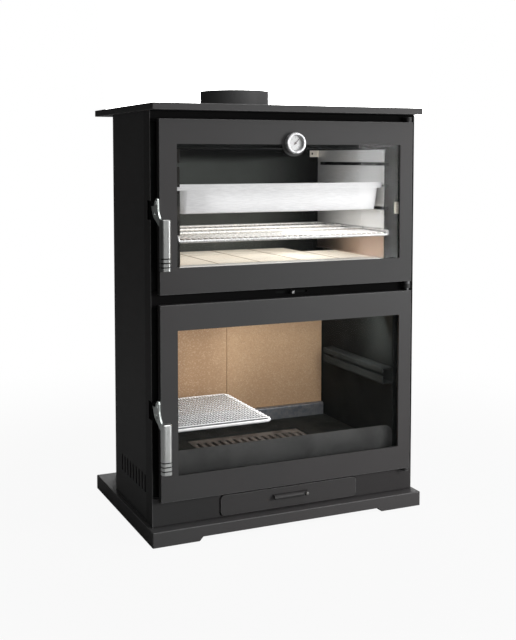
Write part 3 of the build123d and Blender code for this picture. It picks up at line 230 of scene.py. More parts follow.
def paint(node, grey=paint_grey):
    """Stove paint: a grainy matt coat with faint clouds, worn lighter along the outer edges of a node, which also
    paints highlights there.
    """
    made = Finish("paint_" + node)
    grain = made.place.noise(paint_grain_scale, 3.0, 0.6)
    clouds = made.place.noise(paint_cloud_scale, 4.0, 0.55)
    warmth = made.place.noise(paint_hue_scale, 2.0).ramp(0.35, 0.65)
    hue = warmth.mixed(tint(grey, paint_green_tint), tint(grey, paint_warm_tint))
    paler = grain.ramp(0.25, 0.75, 0.0, paint_speck_share) + clouds.ramp(0.25, 0.75, 0.0, paint_cloud_share)
    # The lighter outer edges are partly wear and partly painted highlight.
    rubbed_and_highlit = made.edge(node, edge_wear_and_highlight_width) * edge_wear_and_highlight_share
    made.set(
        Base_Color=rubbed_and_highlit.mixed(paler.mixed(hue, shade(grey, 2.0)), paint_wear_and_highlight_grey),
        Roughness=grain.ramp(0.2, 0.8, 0.5, 0.66) - rubbed_and_highlit * 0.15,
        Specular_IOR_Level=0.32,
    )
    made.bump(grain + made.place.noise(paint_dimple_scale) * 0.8, 0.35, 0.00012)
    return made


for node, strength in paint_light_levels.items():
    dress(paint(node, shade(paint_grey, strength)), node)

framing = paint("front_frame")
height = framing.place.axis(2)
side = framing.place.axis(0)
# Painted shade: the front of the frame turns almost black and rough above its foot, a little more towards the right,
# and under the top plate; its side faces keep their paint.
painted_shade = (height.ramp(*painted_shade_foot_z) * side.ramp(*painted_shade_span_x, *painted_shade_span_share)).most(height.ramp(*painted_shade_top_z))
painted_shade = painted_shade * side.ramp(-frame_edge_x, -frame_shaded_x) * side.ramp(frame_edge_x, frame_shaded_x)
framing.set(
    Base_Color=painted_shade.mixed(framing.colour(), painted_shade_black),
    Roughness=painted_shade.ramp(0.0, 0.5, 0.58, 0.95),
    Specular_IOR_Level=0.12,
)
dress(framing, "front_frame")

pull_low, pull_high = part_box("drawer_pull")
pull_paint = paint("drawer_pull")
# Painted shadow: the pull turns almost black just under its lip.
painted_lip_shadow = pull_paint.place.axis(2).ramp(pull_low.z + lip_shadow_start, pull_low.z + lip_shadow_full)
pull_paint.set(Base_Color=painted_lip_shadow.mixed(pull_paint.colour(), painted_shade_black))
dress(pull_paint, "drawer_pull")


# The inner body: carcass sides and rear, sealing frame, oven plates, hearth, ash housing, rails and log guard.
# They are thicker welded plate, painted dark and then greyed by heat and soot, most of all in the firebox.
# The carcass keeps its paint on the outside, and a greenish painted light lies on its inner side near the door.
chamber_grey = (0.007, 0.008, 0.0077)
soot_and_shade_black = (0.003, 0.003, 0.003)
painted_wall_light = (0.032, 0.037, 0.035)
ash_grey = (0.085, 0.083, 0.078)
oven_floor_grey = (0.03, 0.032, 0.03)
oven_ceiling_shade_black = (0.002, 0.002, 0.002)
oven_rear_grey = (0.085, 0.091, 0.085)
hearth_grey = (0.017, 0.019, 0.0182)
rail_grey = (0.03, 0.034, 0.033)
guard_grey = (0.085, 0.085, 0.084)
chamber_pit_scale = 520.0
chamber_soot_scale = 9.0
chamber_dust_scale = 31.0
oven_rear_shade_x = (0.0, 0.23)
oven_rear_shade_z = (0.715, 0.74)
wall_lit_y = (0.03, -0.13)
wall_lit_z = (0.26, 0.34)
outer_paint_start = 0.0014
outer_paint_full = 0.001


def chamber(name, grey=chamber_grey, soot=0.8, ash=0.02):
    """Heat-greyed plate: clouds of soot, a dusting of pale ash and a rolled, slightly pitted skin."""
    made = Finish(name)
    pits = made.place.noise(chamber_pit_scale, 4.0, 0.62)
    clouds = made.place.noise(chamber_soot_scale, 5.0, 0.6, 0.4)
    dust = made.place.noise(chamber_dust_scale, 5.0, 0.7)
    plate = pits.spread().mixed(shade(grey, 0.82), shade(grey, 1.2))
    sooted = (clouds.ramp(0.42, 0.68) * soot).mixed(plate, soot_and_shade_black)
    made.set(
        Base_Color=(dust.ramp(0.52, 0.74) * ash).mixed(sooted, ash_grey),
        Roughness=clouds.spread(0.6, 0.85),
        Specular_IOR_Level=0.08,
    )
    made.bump(pits, 0.4, 0.0002)
    return made


dress(chamber("oven_plate", oven_floor_grey, 0.2, 0.05), "oven_floor_plate")
# The oven's ceiling plate is made almost black as painted shade.
dress(chamber("oven_ceiling_shade_plate", oven_ceiling_shade_black, 0.5, 0.0), "oven_ceiling_plate")
dress(chamber("hearth_plate_steel", hearth_grey, 0.5, 0.015), "hearth_plate")
dress(chamber("guard_steel", guard_grey, 0.25, 0.15), "log_guard")
rail_steel = chamber("rail_steel", rail_grey, 0.3, 0.03)
dress(rail_steel, "grill_rail_left", "grill_rail_right")
dress(
    chamber("carcass_plate"),
    "sealing_frame", "ash_housing", "drawer_runners", "ash_drawer_box", "air_slider", "latch_keepers",
)

oven_rear = chamber("oven_rear_plate", oven_rear_grey, 0.15, 0.05)
# Painted shade: the oven's back plate turns black towards the right and along its top.
painted_rear_shade = oven_rear.place.axis(0).ramp(*oven_rear_shade_x).most(oven_rear.place.axis(2).ramp(*oven_rear_shade_z))
oven_rear.set(Base_Color=painted_rear_shade.mixed(oven_rear.colour(), soot_and_shade_black))
dress(oven_rear, "oven_back_plate")

for node, across in (("carcass_side_left", 0), ("carcass_side_right", 0), ("carcass_rear", 1)):
    wall = chamber(node + "_plate")
    outer_face = max(abs(corner[across]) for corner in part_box(node))
    outside = abs(wall.place.axis(across)).ramp(outer_face - outer_paint_start, outer_face - outer_paint_full)
    grain = wall.place.noise(paint_grain_scale, 3.0, 0.6).ramp(0.25, 0.75)
    # Painted light: the inner side turns a lighter green towards the door and above the hearth.
    lit = wall.place.axis(1).ramp(*wall_lit_y) * wall.place.axis(2).ramp(*wall_lit_z)
    inside = lit.mixed(wall.colour(), painted_wall_light)
    wall.set(Base_Color=outside.mixed(inside, grain.mixed(paint_grey, shade(paint_grey, 1.3))))
    dress(wall, node)


# Fire grate: a loose cast-iron plate with fifteen slots, let into the hearth.
# The casting is coarse, and the fire has browned it.
iron_brown = (0.19, 0.175, 0.16)
iron_dark = (0.065, 0.058, 0.053)
casting_scale = 330.0
iron_patch_scale = 40.0
cast_iron = Finish("cast_iron")
casting = cast_iron.place.noise(casting_scale, 6.0, 0.7)
iron_patches = cast_iron.place.noise(iron_patch_scale, 4.0, 0.6)
cast_iron.set(
    Base_Color=(casting * 0.5 + iron_patches * 0.5).ramp(0.38, 0.62).mixed(iron_dark, iron_brown),
    Roughness=casting.spread(0.62, 0.9),
    Metallic=0.25,
)
cast_iron.bump(casting, 0.8, 0.0005)
dress(cast_iron, "fire_grate")


# Skirting: a folded steel strip on the hearth that holds the boards' feet against the rear.
# Heat has mottled the bare steel blue and grey.
blue_oxide = (0.25, 0.275, 0.31)
grey_oxide = (0.39, 0.395, 0.41)
straw_oxide = (0.2, 0.17, 0.13)
mottle_scale = 46.0
drift_scale = 11.0
skirting_grain_scale = 700.0
tempered = Finish("tempered_steel")
mottle = tempered.place.noise(mottle_scale, 5.0, 0.65, 1.2)
drift = tempered.place.noise(drift_scale, 3.0)
oxide = mottle.ramp(0.35, 0.65).mixed(blue_oxide, grey_oxide)
tempered.set(
    Base_Color=(drift.ramp(0.55, 0.75) * 0.6).mixed(oxide, straw_oxide),
    Metallic=0.75,
    Roughness=mottle.spread(0.34, 0.55),
)
tempered.bump(tempered.place.noise(skirting_grain_scale, 3.0), 0.2, 0.0001)
dress(tempered, "board_skirting")


# Fireproof boards: pressed vermiculite slabs, two at the rear and one overhead as the baffle.
# The mineral flakes show as pale and dark flecks in a tan body, with small pits where some fell out.
# The fire has browned the boards low down, and painted shade darkens them towards the left.
board_tan = (0.63, 0.43, 0.26)
board_brown = (0.52, 0.335, 0.195)
board_fleck_pale = (0.76, 0.58, 0.4)
board_fleck_and_shade_dark = (0.34, 0.21, 0.12)
flake_scale = 430.0
board_cloud_scale = 6.0
board_pit_scale = 160.0
board_low_stain_z = (0.12, 0.34)
board_left_shade_x = (0.03, -0.07)
board_left_shade_share = 0.64
fire_board = Finish("pressed_board")
flake_tone = fire_board.place.cells(flake_scale, output=1).axis(0)
flake_gap = fire_board.place.cells(flake_scale)
body_cloud = fire_board.place.noise(board_cloud_scale, 4.0, 0.6).spread() * 0.35
low_stain = fire_board.place.axis(2).ramp(*board_low_stain_z, 0.75, 0.0)
# Painted shade: the boards darken towards the left.
painted_left_shade = fire_board.place.axis(0).ramp(*board_left_shade_x, 0.0, board_left_shade_share)
body_tone = painted_left_shade.mixed((body_cloud + low_stain).mixed(board_tan, board_brown), board_fleck_and_shade_dark)
flecked = (flake_tone.ramp(0.72, 0.95) * 0.3).mixed(body_tone, board_fleck_pale)
fire_board.set(
    Base_Color=(flake_tone.ramp(0.28, 0.05) * 0.2).mixed(flecked, board_fleck_and_shade_dark),
    Roughness=0.88,
    Specular_IOR_Level=0.25,
)
board_pits = fire_board.place.noise(board_pit_scale, 4.0)
fire_board.bump(flake_tone * 0.6 - flake_gap * 0.5 + board_pits * 0.8, 0.5, 0.0006)
dress(fire_board, "back_board_left", "back_board_right", "baffle")


# Bright rods: the oven's rack and the firebox's hanging grid, welded from drawn wire.
# The rack is chromed and the grid has a paler satin coat. Both are a little brown where fat and smoke have burnt on.
chrome_bright = (0.76, 0.76, 0.755)
chrome_burnt = (0.5, 0.45, 0.38)
grid_satin = (0.98, 0.985, 0.99)
burnt_scale = 60.0
drawn_scale = 900.0


def rod(name, burnt, bright, metallic):
    """Drawn wire: bright and nearly smooth, with brownish burnt-on patches."""
    made = Finish(name)
    stain = made.place.noise(burnt_scale, 4.0, 0.6).ramp(0.5, 0.75) * burnt
    drawn = made.place.noise(drawn_scale, 2.0)
    made.set(
        Base_Color=stain.mixed(bright, chrome_burnt),
        Metallic=metallic,
        Roughness=drawn.spread(0.2, 0.3) + stain * 0.3,
    )
    made.bump(drawn, 0.15, 0.00005)
    return made


dress(rod("rack_chrome", 0.2, chrome_bright, 0.65), "oven_rack")
grid_chrome = rod("grid_chrome", 0.05, grid_satin, 0.0)
dress(grid_chrome, "grill_grid")

# Cross wires of the firebox grid: thin wires from front to rear, welded over the long ones to make a mesh.
# One wire is drawn, its ends are rounded, and it is copied from side to side.
cross_wire_sides = 10
cross_wire_radius = 0.0009
cross_wire_round = 0.00054
cross_wire_pitch = 0.0064
cross_wire_side_margin = 0.009
cross_wire_end_margin = 0.0162
cross_wire_height = 0.0076
grid_mesh_width = 0.222
smooth_below = math.radians(40)
grid_low, grid_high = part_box("grill_grid")


def clear_selection():
    """Nothing is selected after this, so that the next operator acts on new work only."""
    bpy.ops.object.select_all(action="DESELECT")


def select_only(*pieces):
    """Selects these pieces and makes the first one active."""
    clear_selection()
    for piece in pieces:
        piece.select_set(True)
    bpy.context.view_layer.objects.active = pieces[0]


def round_blank(radius, front_y, back_y, x, z, sides):
    """A round bar that lies from front to rear, as turned pieces and wires start from."""
    clear_selection()
    bpy.ops.mesh.primitive_cylinder_add(
        vertices=sides,
        radius=radius,
        depth=back_y - front_y,
        location=(x, (front_y + back_y) / 2, z),
        rotation=(math.pi / 2, 0.0, 0.0),
    )
    bpy.ops.object.transform_apply(location=True, rotation=True, scale=True)
    return bpy.context.object


def pick(piece, kind, test):
    """In edit mode, selects only the faces or edges of a piece that pass a test."""
    shape = bmesh.from_edit_mesh(piece.data)
    for group in (shape.verts, shape.edges, shape.faces):
        for element in group:
            element.select = False
    shape.select_mode = {kind}
    for element in {"FACE": shape.faces, "EDGE": shape.edges}[kind]:
        if test(element):
            element.select = True
    shape.select_flush_mode()
    bmesh.update_edit_mesh(piece.data)


def settle(piece, finish, name):
    """Names a finished piece, gives it its finish and moves its place into its mesh."""
    select_only(piece)
    bpy.ops.object.transform_apply(location=True, rotation=True, scale=True)
    piece.name = name
    piece.data.name = name
    piece.data.materials.clear()
    piece.data.materials.append(finish.material)
    return piece


wire_first_x = grid_high.x - grid_mesh_width + cross_wire_side_margin
wire_count = int((grid_high.x - cross_wire_side_margin - wire_first_x) / cross_wire_pitch) + 1
first_wire = round_blank(
    cross_wire_radius, grid_low.y + cross_wire_end_margin, grid_high.y - cross_wire_end_margin,
    wire_first_x, grid_low.z + cross_wire_height, cross_wire_sides,
)
bpy.ops.object.mode_set(mode="EDIT")
pick(first_wire, "FACE", lambda face: abs(face.normal.y) > 0.9)
bpy.ops.mesh.bevel(offset=cross_wire_round, segments=2)
bpy.ops.object.mode_set(mode="OBJECT")
cross_wires = [first_wire]
for place in range(1, wire_count):
    copy = first_wire.copy()
    copy.data = first_wire.data.copy()
    copy.location.x = place * cross_wire_pitch
    bpy.context.scene.collection.objects.link(copy)
    cross_wires.append(copy)
select_only(*cross_wires)
bpy.ops.object.join()
grid_cross_wires = settle(first_wire, grid_chrome, "grid_cross_wires")
bpy.ops.object.shade_smooth_by_angle(angle=smooth_below)
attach(grid_cross_wires, "grill")


# Drawer pull's screw: a small turned head at the right end of the pull's lip.
# It is satin steel with a rounded rim, and it moves with the drawer.
screw_dark = (0.14, 0.135, 0.13)
screw_pale = (0.24, 0.235, 0.23)
screw_wear_scale = 900.0
screw_sides = 32
screw_radius = 0.0033
screw_depth = 0.0042
screw_sunk = 0.0012
screw_round = 0.0009
screw_inset = 0.0042
screw_drop = 0.0045
screw_steel = Finish("screw_steel")
screw_wear = screw_steel.place.noise(screw_wear_scale, 3.0)
screw_steel.set(
    Base_Color=screw_wear.spread().mixed(screw_dark, screw_pale),
    Metallic=0.3,
    Roughness=screw_wear.spread(0.4, 0.55),
)
screw_back_y = pull_low.y + screw_sunk
pull_screw = round_blank(
    screw_radius, screw_back_y - screw_depth, screw_back_y,
    pull_high.x - screw_inset, pull_high.z - screw_drop, screw_sides,
)
bpy.ops.object.mode_set(mode="EDIT")
pick(pull_screw, "FACE", lambda face: face.normal.y < -0.9)
bpy.ops.mesh.bevel(offset=screw_round, segments=3)
bpy.ops.object.mode_set(mode="OBJECT")
settle(pull_screw, screw_steel, "pull_screw")
bpy.ops.object.shade_smooth_by_angle(angle=smooth_below)
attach(pull_screw, "ash_drawer")


# Left grill rail: the same slotted angle as in the CAD, with its front end cut back behind the door's window.
# It is dark chamber plate, copied from the CAD and sawn off square, and the grid still hangs in its slot.
rail_cut_y = -0.098
rail_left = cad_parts["grill_rail_left"].copy()
rail_left.data = rail_left.data.copy()
bpy.context.scene.collection.objects.link(rail_left)
select_only(rail_left)
bpy.ops.object.mode_set(mode="EDIT")
bpy.ops.mesh.select_all(action="SELECT")
bpy.ops.mesh.remove_doubles(threshold=1e-5)
bpy.ops.mesh.bisect(plane_co=(0.0, rail_cut_y, 0.0), plane_no=(0.0, 1.0, 0.0), use_fill=True, clear_inner=True)
bpy.ops.object.mode_set(mode="OBJECT")
settle(rail_left, rail_steel, "grill_rail_left_cut")
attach(rail_left, "stove")
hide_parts("grill_rail_left")


# Oven lining: two folded liners with slots for the racks, the strip in front of the tiles, and the glass clips.
# They are bright stainless sheet with a fine rolled grain and yellowed by heat, and a tan painted reflection of the
# tiles lies on them low down.
# Painted shade darkens the liners towards the rear and turns their front flanges almost black, and their rear tabs are
# a warm white.
liner_silver = (0.8, 0.8, 0.79)
liner_yellow = (0.5, 0.44, 0.34)
stain_and_shade_brown = (0.03, 0.026, 0.022)
liner_painted_shade = (0.014, 0.012, 0.01)
liner_tile_reflection = (0.75, 0.5, 0.34)
tab_beige = (0.95, 0.88, 0.78)
strip_silver = (0.8, 0.79, 0.76)
sooted_clip_grey = (0.06, 0.057, 0.052)
zinc_clip_silver = (0.66, 0.62, 0.54)
grain_front_to_rear = (1500.0, 40.0, 1500.0)
grain_side_to_side = (40.0, 1500.0, 1500.0)
clip_grain = (400.0, 400.0, 400.0)
heat_stain_scale = 12.0
tile_reflection_z = (0.575, 0.565)
liner_shade_y = (-0.1, 0.14)
flange_start = 0.004
flange_full = 0.001
tab_start = 0.004
tab_full = 0.003
tab_height = 0.0165
tab_fade = 0.0005
clip_unlit_x = (0.1, 0.0)


def sheet_metal(name, colour, stained, grain, roughness, metallic=1.0, heat=0.2):
    """Rolled bright sheet: fine scratches that the grain draws out, and faint heat stains."""
    made = Finish(name)
    scratches = made.place.stretched(*grain).noise(1.0, 4.0, 0.65)
    stains = made.place.noise(heat_stain_scale, 4.0, 0.6).ramp(0.48, 0.75) * heat
    made.set(
        Base_Color=stains.mixed(scratches.spread().mixed(shade(colour, 0.9), shade(colour, 1.08)), stained),
        Metallic=metallic,
        Roughness=scratches.ramp(0.25, 0.75, roughness * 0.8, roughness * 1.25),
    )
    made.bump(scratches, 0.2, 0.00006)
    return made


liner_low, liner_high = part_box("oven_liner_right")
liner_steel = sheet_metal("liner_stainless", liner_silver, liner_yellow, grain_front_to_rear, 0.38, 0.5)
depth = liner_steel.place.axis(1)
height = liner_steel.place.axis(2)
# Painted reflection: low down, beside the tiles, the liners take a tan from them.
tile_reflection = height.ramp(*tile_reflection_z)
lining = (tile_reflection * 0.8).mixed(liner_steel.colour(), liner_tile_reflection)
# Painted shade: the liners darken towards the rear, most of all low down.
lining = (depth.ramp(*liner_shade_y) * (tile_reflection * 0.42 + 0.5)).mixed(lining, stain_and_shade_brown)
tab_foot_z = liner_high.z - tab_height
tab = depth.ramp(liner_high.y - tab_start, liner_high.y - tab_full) * height.ramp(tab_foot_z, tab_foot_z + tab_fade)
# Painted shade: the front flanges turn almost black, dull and rough.
painted_flange_shade = depth.ramp(liner_low.y + flange_start, liner_low.y + flange_full)
liner_steel.set(
    Base_Color=painted_flange_shade.mixed(tab.mixed(lining, tab_beige), liner_painted_shade),
    Metallic=painted_flange_shade.ramp(0.0, 1.0, 0.5, 0.0),
    Roughness=painted_flange_shade.ramp(0.0, 1.0, 0.38, 0.95),
)
dress(liner_steel, "oven_liner_left", "oven_liner_right")
dress(sheet_metal("strip_stainless", strip_silver, liner_yellow, grain_side_to_side, 0.34, 0.6), "tile_strip")
dress(sheet_metal("sooted_clip", sooted_clip_grey, stain_and_shade_brown, clip_grain, 0.5, 0.6), "firebox_glass_clips")
oven_clip = sheet_metal("zinc_clip", zinc_clip_silver, liner_yellow, clip_grain, 0.45, 0.6)
# Painted shade: the left clip is made dark brown.
unlit = oven_clip.place.axis(0).ramp(*clip_unlit_x)
oven_clip.set(Base_Color=unlit.mixed(oven_clip.colour(), stain_and_shade_brown))
dress(oven_clip, "oven_glass_clips")

# Baking tray: one pressed pan of pale satin sheet with a rolled lip.
# Its finish is almost white, with soft marks from use.
tray_white = (0.82, 0.82, 0.825)
tray_mark = (0.66, 0.65, 0.63)
tray_grain = (60.0, 900.0, 900.0)
dress(sheet_metal("satin_tray", tray_white, tray_mark, tray_grain, 0.5, 0.08, 0.12), "baking_tray")

# Oven tiles: cream fired clay, laid loose with fine joints over the oven floor.
# The firing left faint clouds of a sandier tone, a sandy grain and small dark pores.
tile_cream = (0.985, 0.92, 0.8)
tile_sand = (0.92, 0.83, 0.69)
tile_pore = (0.5, 0.4, 0.28)
tile_joint = (0.3, 0.2, 0.12)
tile_pitch = 0.09
tile_row_y = 0.05825
joint_half_width = 0.0026
sand_scale = 900.0
firing_scale = 14.0
pore_scale = 520.0
clay = Finish("oven_clay")
sand = clay.place.noise(sand_scale, 4.0, 0.6)
firing = clay.place.noise(firing_scale, 3.0, 0.55)
pores = clay.place.cells(pore_scale)
tile_body = (firing.ramp(0.35, 0.7) * 0.6 + sand.spread() * 0.2).mixed(tile_cream, tile_sand)
fired = (pores.ramp(0.16, 0.05) * 0.5).mixed(tile_body, tile_pore)
across_joint = (clay.place.axis(0) + tile_pitch / 2).folded(tile_pitch / 2)
joint = across_joint.least(abs(clay.place.axis(1) - tile_row_y)).ramp(joint_half_width, joint_half_width * 0.5)
clay.set(
    Base_Color=(joint * 0.9).mixed(fired, tile_joint),
    Roughness=0.82,
    Specular_IOR_Level=0.3,
)
clay.bump(sand + pores.ramp(0.05, 0.2), 0.35, 0.0003)
dress(clay, "oven_tiles")


# Door glass: a clear glass-ceramic pane in each door, and the small lens of the thermometer.
# The panes carry a trace of smoke haze that thickens towards their edges.
glass_tone = (0.02, 0.024, 0.023)
pane_alpha = (0.035, 0.1)
lens_alpha = (0.01, 0.03)
haze_rim = (0.01, 0.045)
haze_scale = 9.0
wiped_scale = 25.0


def pane(name, node, clearest, haziest):
    """Clear glass with a faint haze: denser in clouds and near the edges of the node's box."""
    made = Finish(name)
    low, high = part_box(node)
    across = (high.x - low.x) / 2 - abs(made.place.axis(0) - (low.x + high.x) / 2)
    up = (high.z - low.z) / 2 - abs(made.place.axis(2) - (low.z + high.z) / 2)
    rim = across.least(up).ramp(*haze_rim, 0.6, 0.0)
    haze = made.place.noise(haze_scale, 5.0, 0.6).ramp(0.4, 0.75, 0.0, 0.5)
    made.set(
        Base_Color=glass_tone,
        Roughness=made.place.noise(wiped_scale, 3.0).spread(0.02, 0.07),
        IOR=1.52,
        Alpha=(rim + haze).ramp(0.0, 1.0, clearest, haziest),
    )
    return made


for door in ("oven", "firebox"):
    node = door + "_door_glass"
    dress(pane(door + "_glass_ceramic", node, *pane_alpha), node)
dress(pane("lens_glass", "thermometer_lens", *lens_alpha), "thermometer_lens")


# Door seals: braided glass-fibre rope, pressed into the groove in the rear of each door.
# Eight strands run round the rope, four each way, over and under each other, and the loop is closed.
rope_strands_each_way = 4
rope_turn_length = 0.0205
rope_turn_points = 16
strand_radius = 0.00105
strand_weave = 0.0003
rope_half_width = 0.0035
rope_corner = 0.007
rope_grey = (0.1, 0.1, 0.1)
rope_pale = (0.3, 0.295, 0.28)
fibre_scale = 2600.0
soiling_scale = 22.0
glass_rope = Finish("glass_fibre_rope")
fibres = glass_rope.place.noise(fibre_scale, 3.0, 0.7)
soiling = glass_rope.place.noise(soiling_scale, 4.0, 0.6)
glass_rope.set(
    Base_Color=(fibres.spread() * 0.5 + soiling.ramp(0.4, 0.7) * 0.3).mixed(rope_grey, rope_pale),
    Roughness=0.93,
    Sheen_Weight=0.25,
)
glass_rope.bump(fibres, 0.7, 0.0002)


def round_loop(distance, half_width, half_height, corner):
    """Place and outward direction at a distance along a rounded rectangle, from the foot of its right side."""
    arc = corner * math.pi / 2
    for quarter in range(4):
        outward = Vector((math.cos(quarter * math.pi / 2), math.sin(quarter * math.pi / 2)))
        forward = Vector((-outward.y, outward.x))
        reach, along = (half_width, half_height) if quarter % 2 == 0 else (half_height, half_width)
        straight = 2 * (along - corner)
        if distance < straight:
            return outward * reach + forward * (distance - straight / 2), outward
        distance -= straight
        if distance < arc:
            turn = quarter * math.pi / 2 + distance / corner
            direction = Vector((math.cos(turn), math.sin(turn)))
            return outward * (reach - corner) + forward * (straight / 2) + direction * corner, direction
        distance -= arc
    return Vector((half_width, corner - half_height)), Vector((1.0, 0.0))


for door in ("oven", "firebox"):
    low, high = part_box(door + "_door_rope")
    centre = (low + high) / 2
    half_width = (high.x - low.x) / 2 - rope_half_width
    half_height = (high.z - low.z) / 2 - rope_half_width
    loop_length = 4 * (half_width + half_height - 2 * rope_corner) + 2 * math.pi * rope_corner
    turns = round(loop_length / rope_turn_length)
    across = rope_half_width - strand_radius - strand_weave
    deep = (high.y - low.y) / 2 - strand_radius - strand_weave
    strands = []
    for way in (1, -1):
        for strand in range(rope_strands_each_way):
            line = bpy.data.curves.new("strand", "CURVE")
            line.dimensions = "3D"
            line.bevel_depth = strand_radius
            line.bevel_resolution = 0
            run = line.splines.new("POLY")
            run.points.add(turns * rope_turn_points - 1)
            for index, point in enumerate(run.points):
                along = loop_length * index / len(run.points)
                spot, outward = round_loop(along, half_width, half_height, rope_corner)
                wound = 2 * math.pi * index / rope_turn_points
                lift = way * strand_weave * math.cos(rope_strands_each_way * wound)
                turn = way * wound + 2 * math.pi * strand / rope_strands_each_way
                out = (across + lift) * math.cos(turn)
                back = (deep + lift) * math.sin(turn)
                point.co = (
                    centre.x + spot.x + outward.x * out, centre.y + back, centre.z + spot.y + outward.y * out, 1.0,
                )
            run.use_cyclic_u = True
            strands.append(bpy.data.objects.new("strand", line))
            bpy.context.scene.collection.objects.link(strands[-1])
    select_only(*strands)
    bpy.ops.object.convert(target="MESH")
    bpy.ops.object.join()
    rope = settle(bpy.context.object, glass_rope, door + "_seal_rope")
    bpy.ops.object.shade_smooth()
    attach(rope, door + "_door")
    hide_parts(door + "_door_rope")


# Thermometer: a spun steel case with a broad rolled bezel, let into the oven door's frame above the window.
# The bezel is a flat ring whose front rims are rolled round, in bright satin steel.
bezel_silver = (0.55, 0.55, 0.56)
bezel_stain = (0.4, 0.4, 0.4)
bezel_grain = (120.0, 120.0, 120.0)
bezel_sides = 96
bezel_radius = 0.0206
bezel_width = 0.0056
bezel_round = 0.0021
bezel_proud = 0.0004
case_low, case_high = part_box("thermometer_case")
gauge_x = (case_low.x + case_high.x) / 2
gauge_z = (case_low.z + case_high.z) / 2
bezel_front_y = case_low.y - bezel_proud
bezel_back_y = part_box("thermometer_lens")[1].y
bezel_steel = sheet_metal("polished_bezel", bezel_silver, bezel_stain, bezel_grain, 0.26, 0.5, 0.1)
dress(bezel_steel, "thermometer_case")


def is_front_rim(edge):
    """An edge of the bezel's front, between the flat ring and one of its round walls."""
    at_front = all(abs(vertex.co.y - bezel_front_y) < 1e-5 for vertex in edge.verts)
    return at_front and len(edge.link_faces) == 2 and min(abs(face.normal.y) for face in edge.link_faces) < 0.5


bezel = round_blank(bezel_radius, bezel_front_y, bezel_back_y, gauge_x, gauge_z, bezel_sides)
bpy.ops.object.mode_set(mode="EDIT")
pick(bezel, "FACE", lambda face: abs(face.normal.y) > 0.9)
bpy.ops.mesh.inset(thickness=bezel_width, depth=0.0)
bpy.ops.mesh.bridge_edge_loops()
bpy.ops.mesh.select_all(action="SELECT")
bpy.ops.mesh.normals_make_consistent(inside=False)
pick(bezel, "EDGE", is_front_rim)
bpy.ops.mesh.bevel(offset=bezel_round, segments=5, profile=0.6)
bpy.ops.object.mode_set(mode="OBJECT")
settle(bezel, bezel_steel, "thermometer_bezel")
bpy.ops.object.shade_smooth_by_angle(angle=smooth_below)
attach(bezel, "oven_door")

# Dial: a white enamelled disc, printed with a ring of ticks and plain round numbers.
# The print is a thin film that lies on the disc, and the needle is black-brown painted brass.
enamel_shade = (0.97, 0.97, 0.97)
enamel_white = (0.99, 0.99, 0.99)
ink_black = (0.02, 0.02, 0.02)
ink_thin = (0.05, 0.05, 0.05)
needle_dark = (0.05, 0.035, 0.033)
needle_worn = (0.1, 0.06, 0.055)
enamel_scale = 60.0
ink_scale = 900.0
needle_wear_scale = 700.0
dial_ticks = 31
dial_long_tick_every = 5
dial_sweep = math.radians(270)
tick_outer = 0.0148
tick_short = 0.0013
tick_long = 0.0026
tick_width = 0.00032
tick_long_width = 0.00048
number_radius = 0.0101
number_size = 0.0031
number_curve_steps = 3
print_thickness = 0.00006
dial_enamel = Finish("dial_enamel")
enamel_cloud = dial_enamel.place.noise(enamel_scale, 3.0)
dial_enamel.set(
    Base_Color=enamel_cloud.spread().mixed(enamel_shade, enamel_white),
    Roughness=enamel_cloud.spread(0.3, 0.42),
)
dress(dial_enamel, "thermometer_dial")
dial_ink = Finish("dial_ink")
ink_density = dial_ink.place.noise(ink_scale, 3.0)
dial_ink.set(
    Base_Color=ink_density.spread().mixed(ink_black, ink_thin),
    Roughness=ink_density.spread(0.5, 0.7),
)
needle_paint = Finish("needle_paint")
needle_wear = needle_paint.place.noise(needle_wear_scale, 3.0)
needle_paint.set(
    Base_Color=needle_wear.spread().mixed(needle_dark, needle_worn),
    Roughness=needle_wear.spread(0.35, 0.5),
)
dress(needle_paint, "thermometer_needle")
print_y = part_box("thermometer_dial")[0].y - print_thickness / 2
printed = []
for tick in range(dial_ticks):
    angle = math.pi / 2 + dial_sweep / 2 - dial_sweep * tick / (dial_ticks - 1)
    numbered = tick % dial_long_tick_every == 0
    length, width = (tick_long, tick_long_width) if numbered else (tick_short, tick_width)
    middle = tick_outer - length / 2
    clear_selection()
    bpy.ops.mesh.primitive_cube_add(
        size=1.0,
        location=(gauge_x + middle * math.cos(angle), print_y, gauge_z + middle * math.sin(angle)),
        rotation=(0.0, -angle, 0.0),
        scale=(length, print_thickness, width),
    )
    printed.append(bpy.context.object)
    if not numbered:
        continue
    clear_selection()
    bpy.ops.object.text_add(
        location=(gauge_x + number_radius * math.cos(angle), print_y, gauge_z + number_radius * math.sin(angle)),
        rotation=(math.pi / 2, 0.0, 0.0),
    )
    number = bpy.context.object.data
    number.body = str(tick // dial_long_tick_every)
    number.size = number_size
    number.align_x = "CENTER"
    number.align_y = "CENTER"
    number.extrude = print_thickness / 2
    number.resolution_u = number_curve_steps
    bpy.ops.object.convert(target="MESH")
    printed.append(bpy.context.object)
select_only(*printed)
bpy.ops.object.join()
dial_print = settle(bpy.context.object, dial_ink, "dial_print")
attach(dial_print, "oven_door")
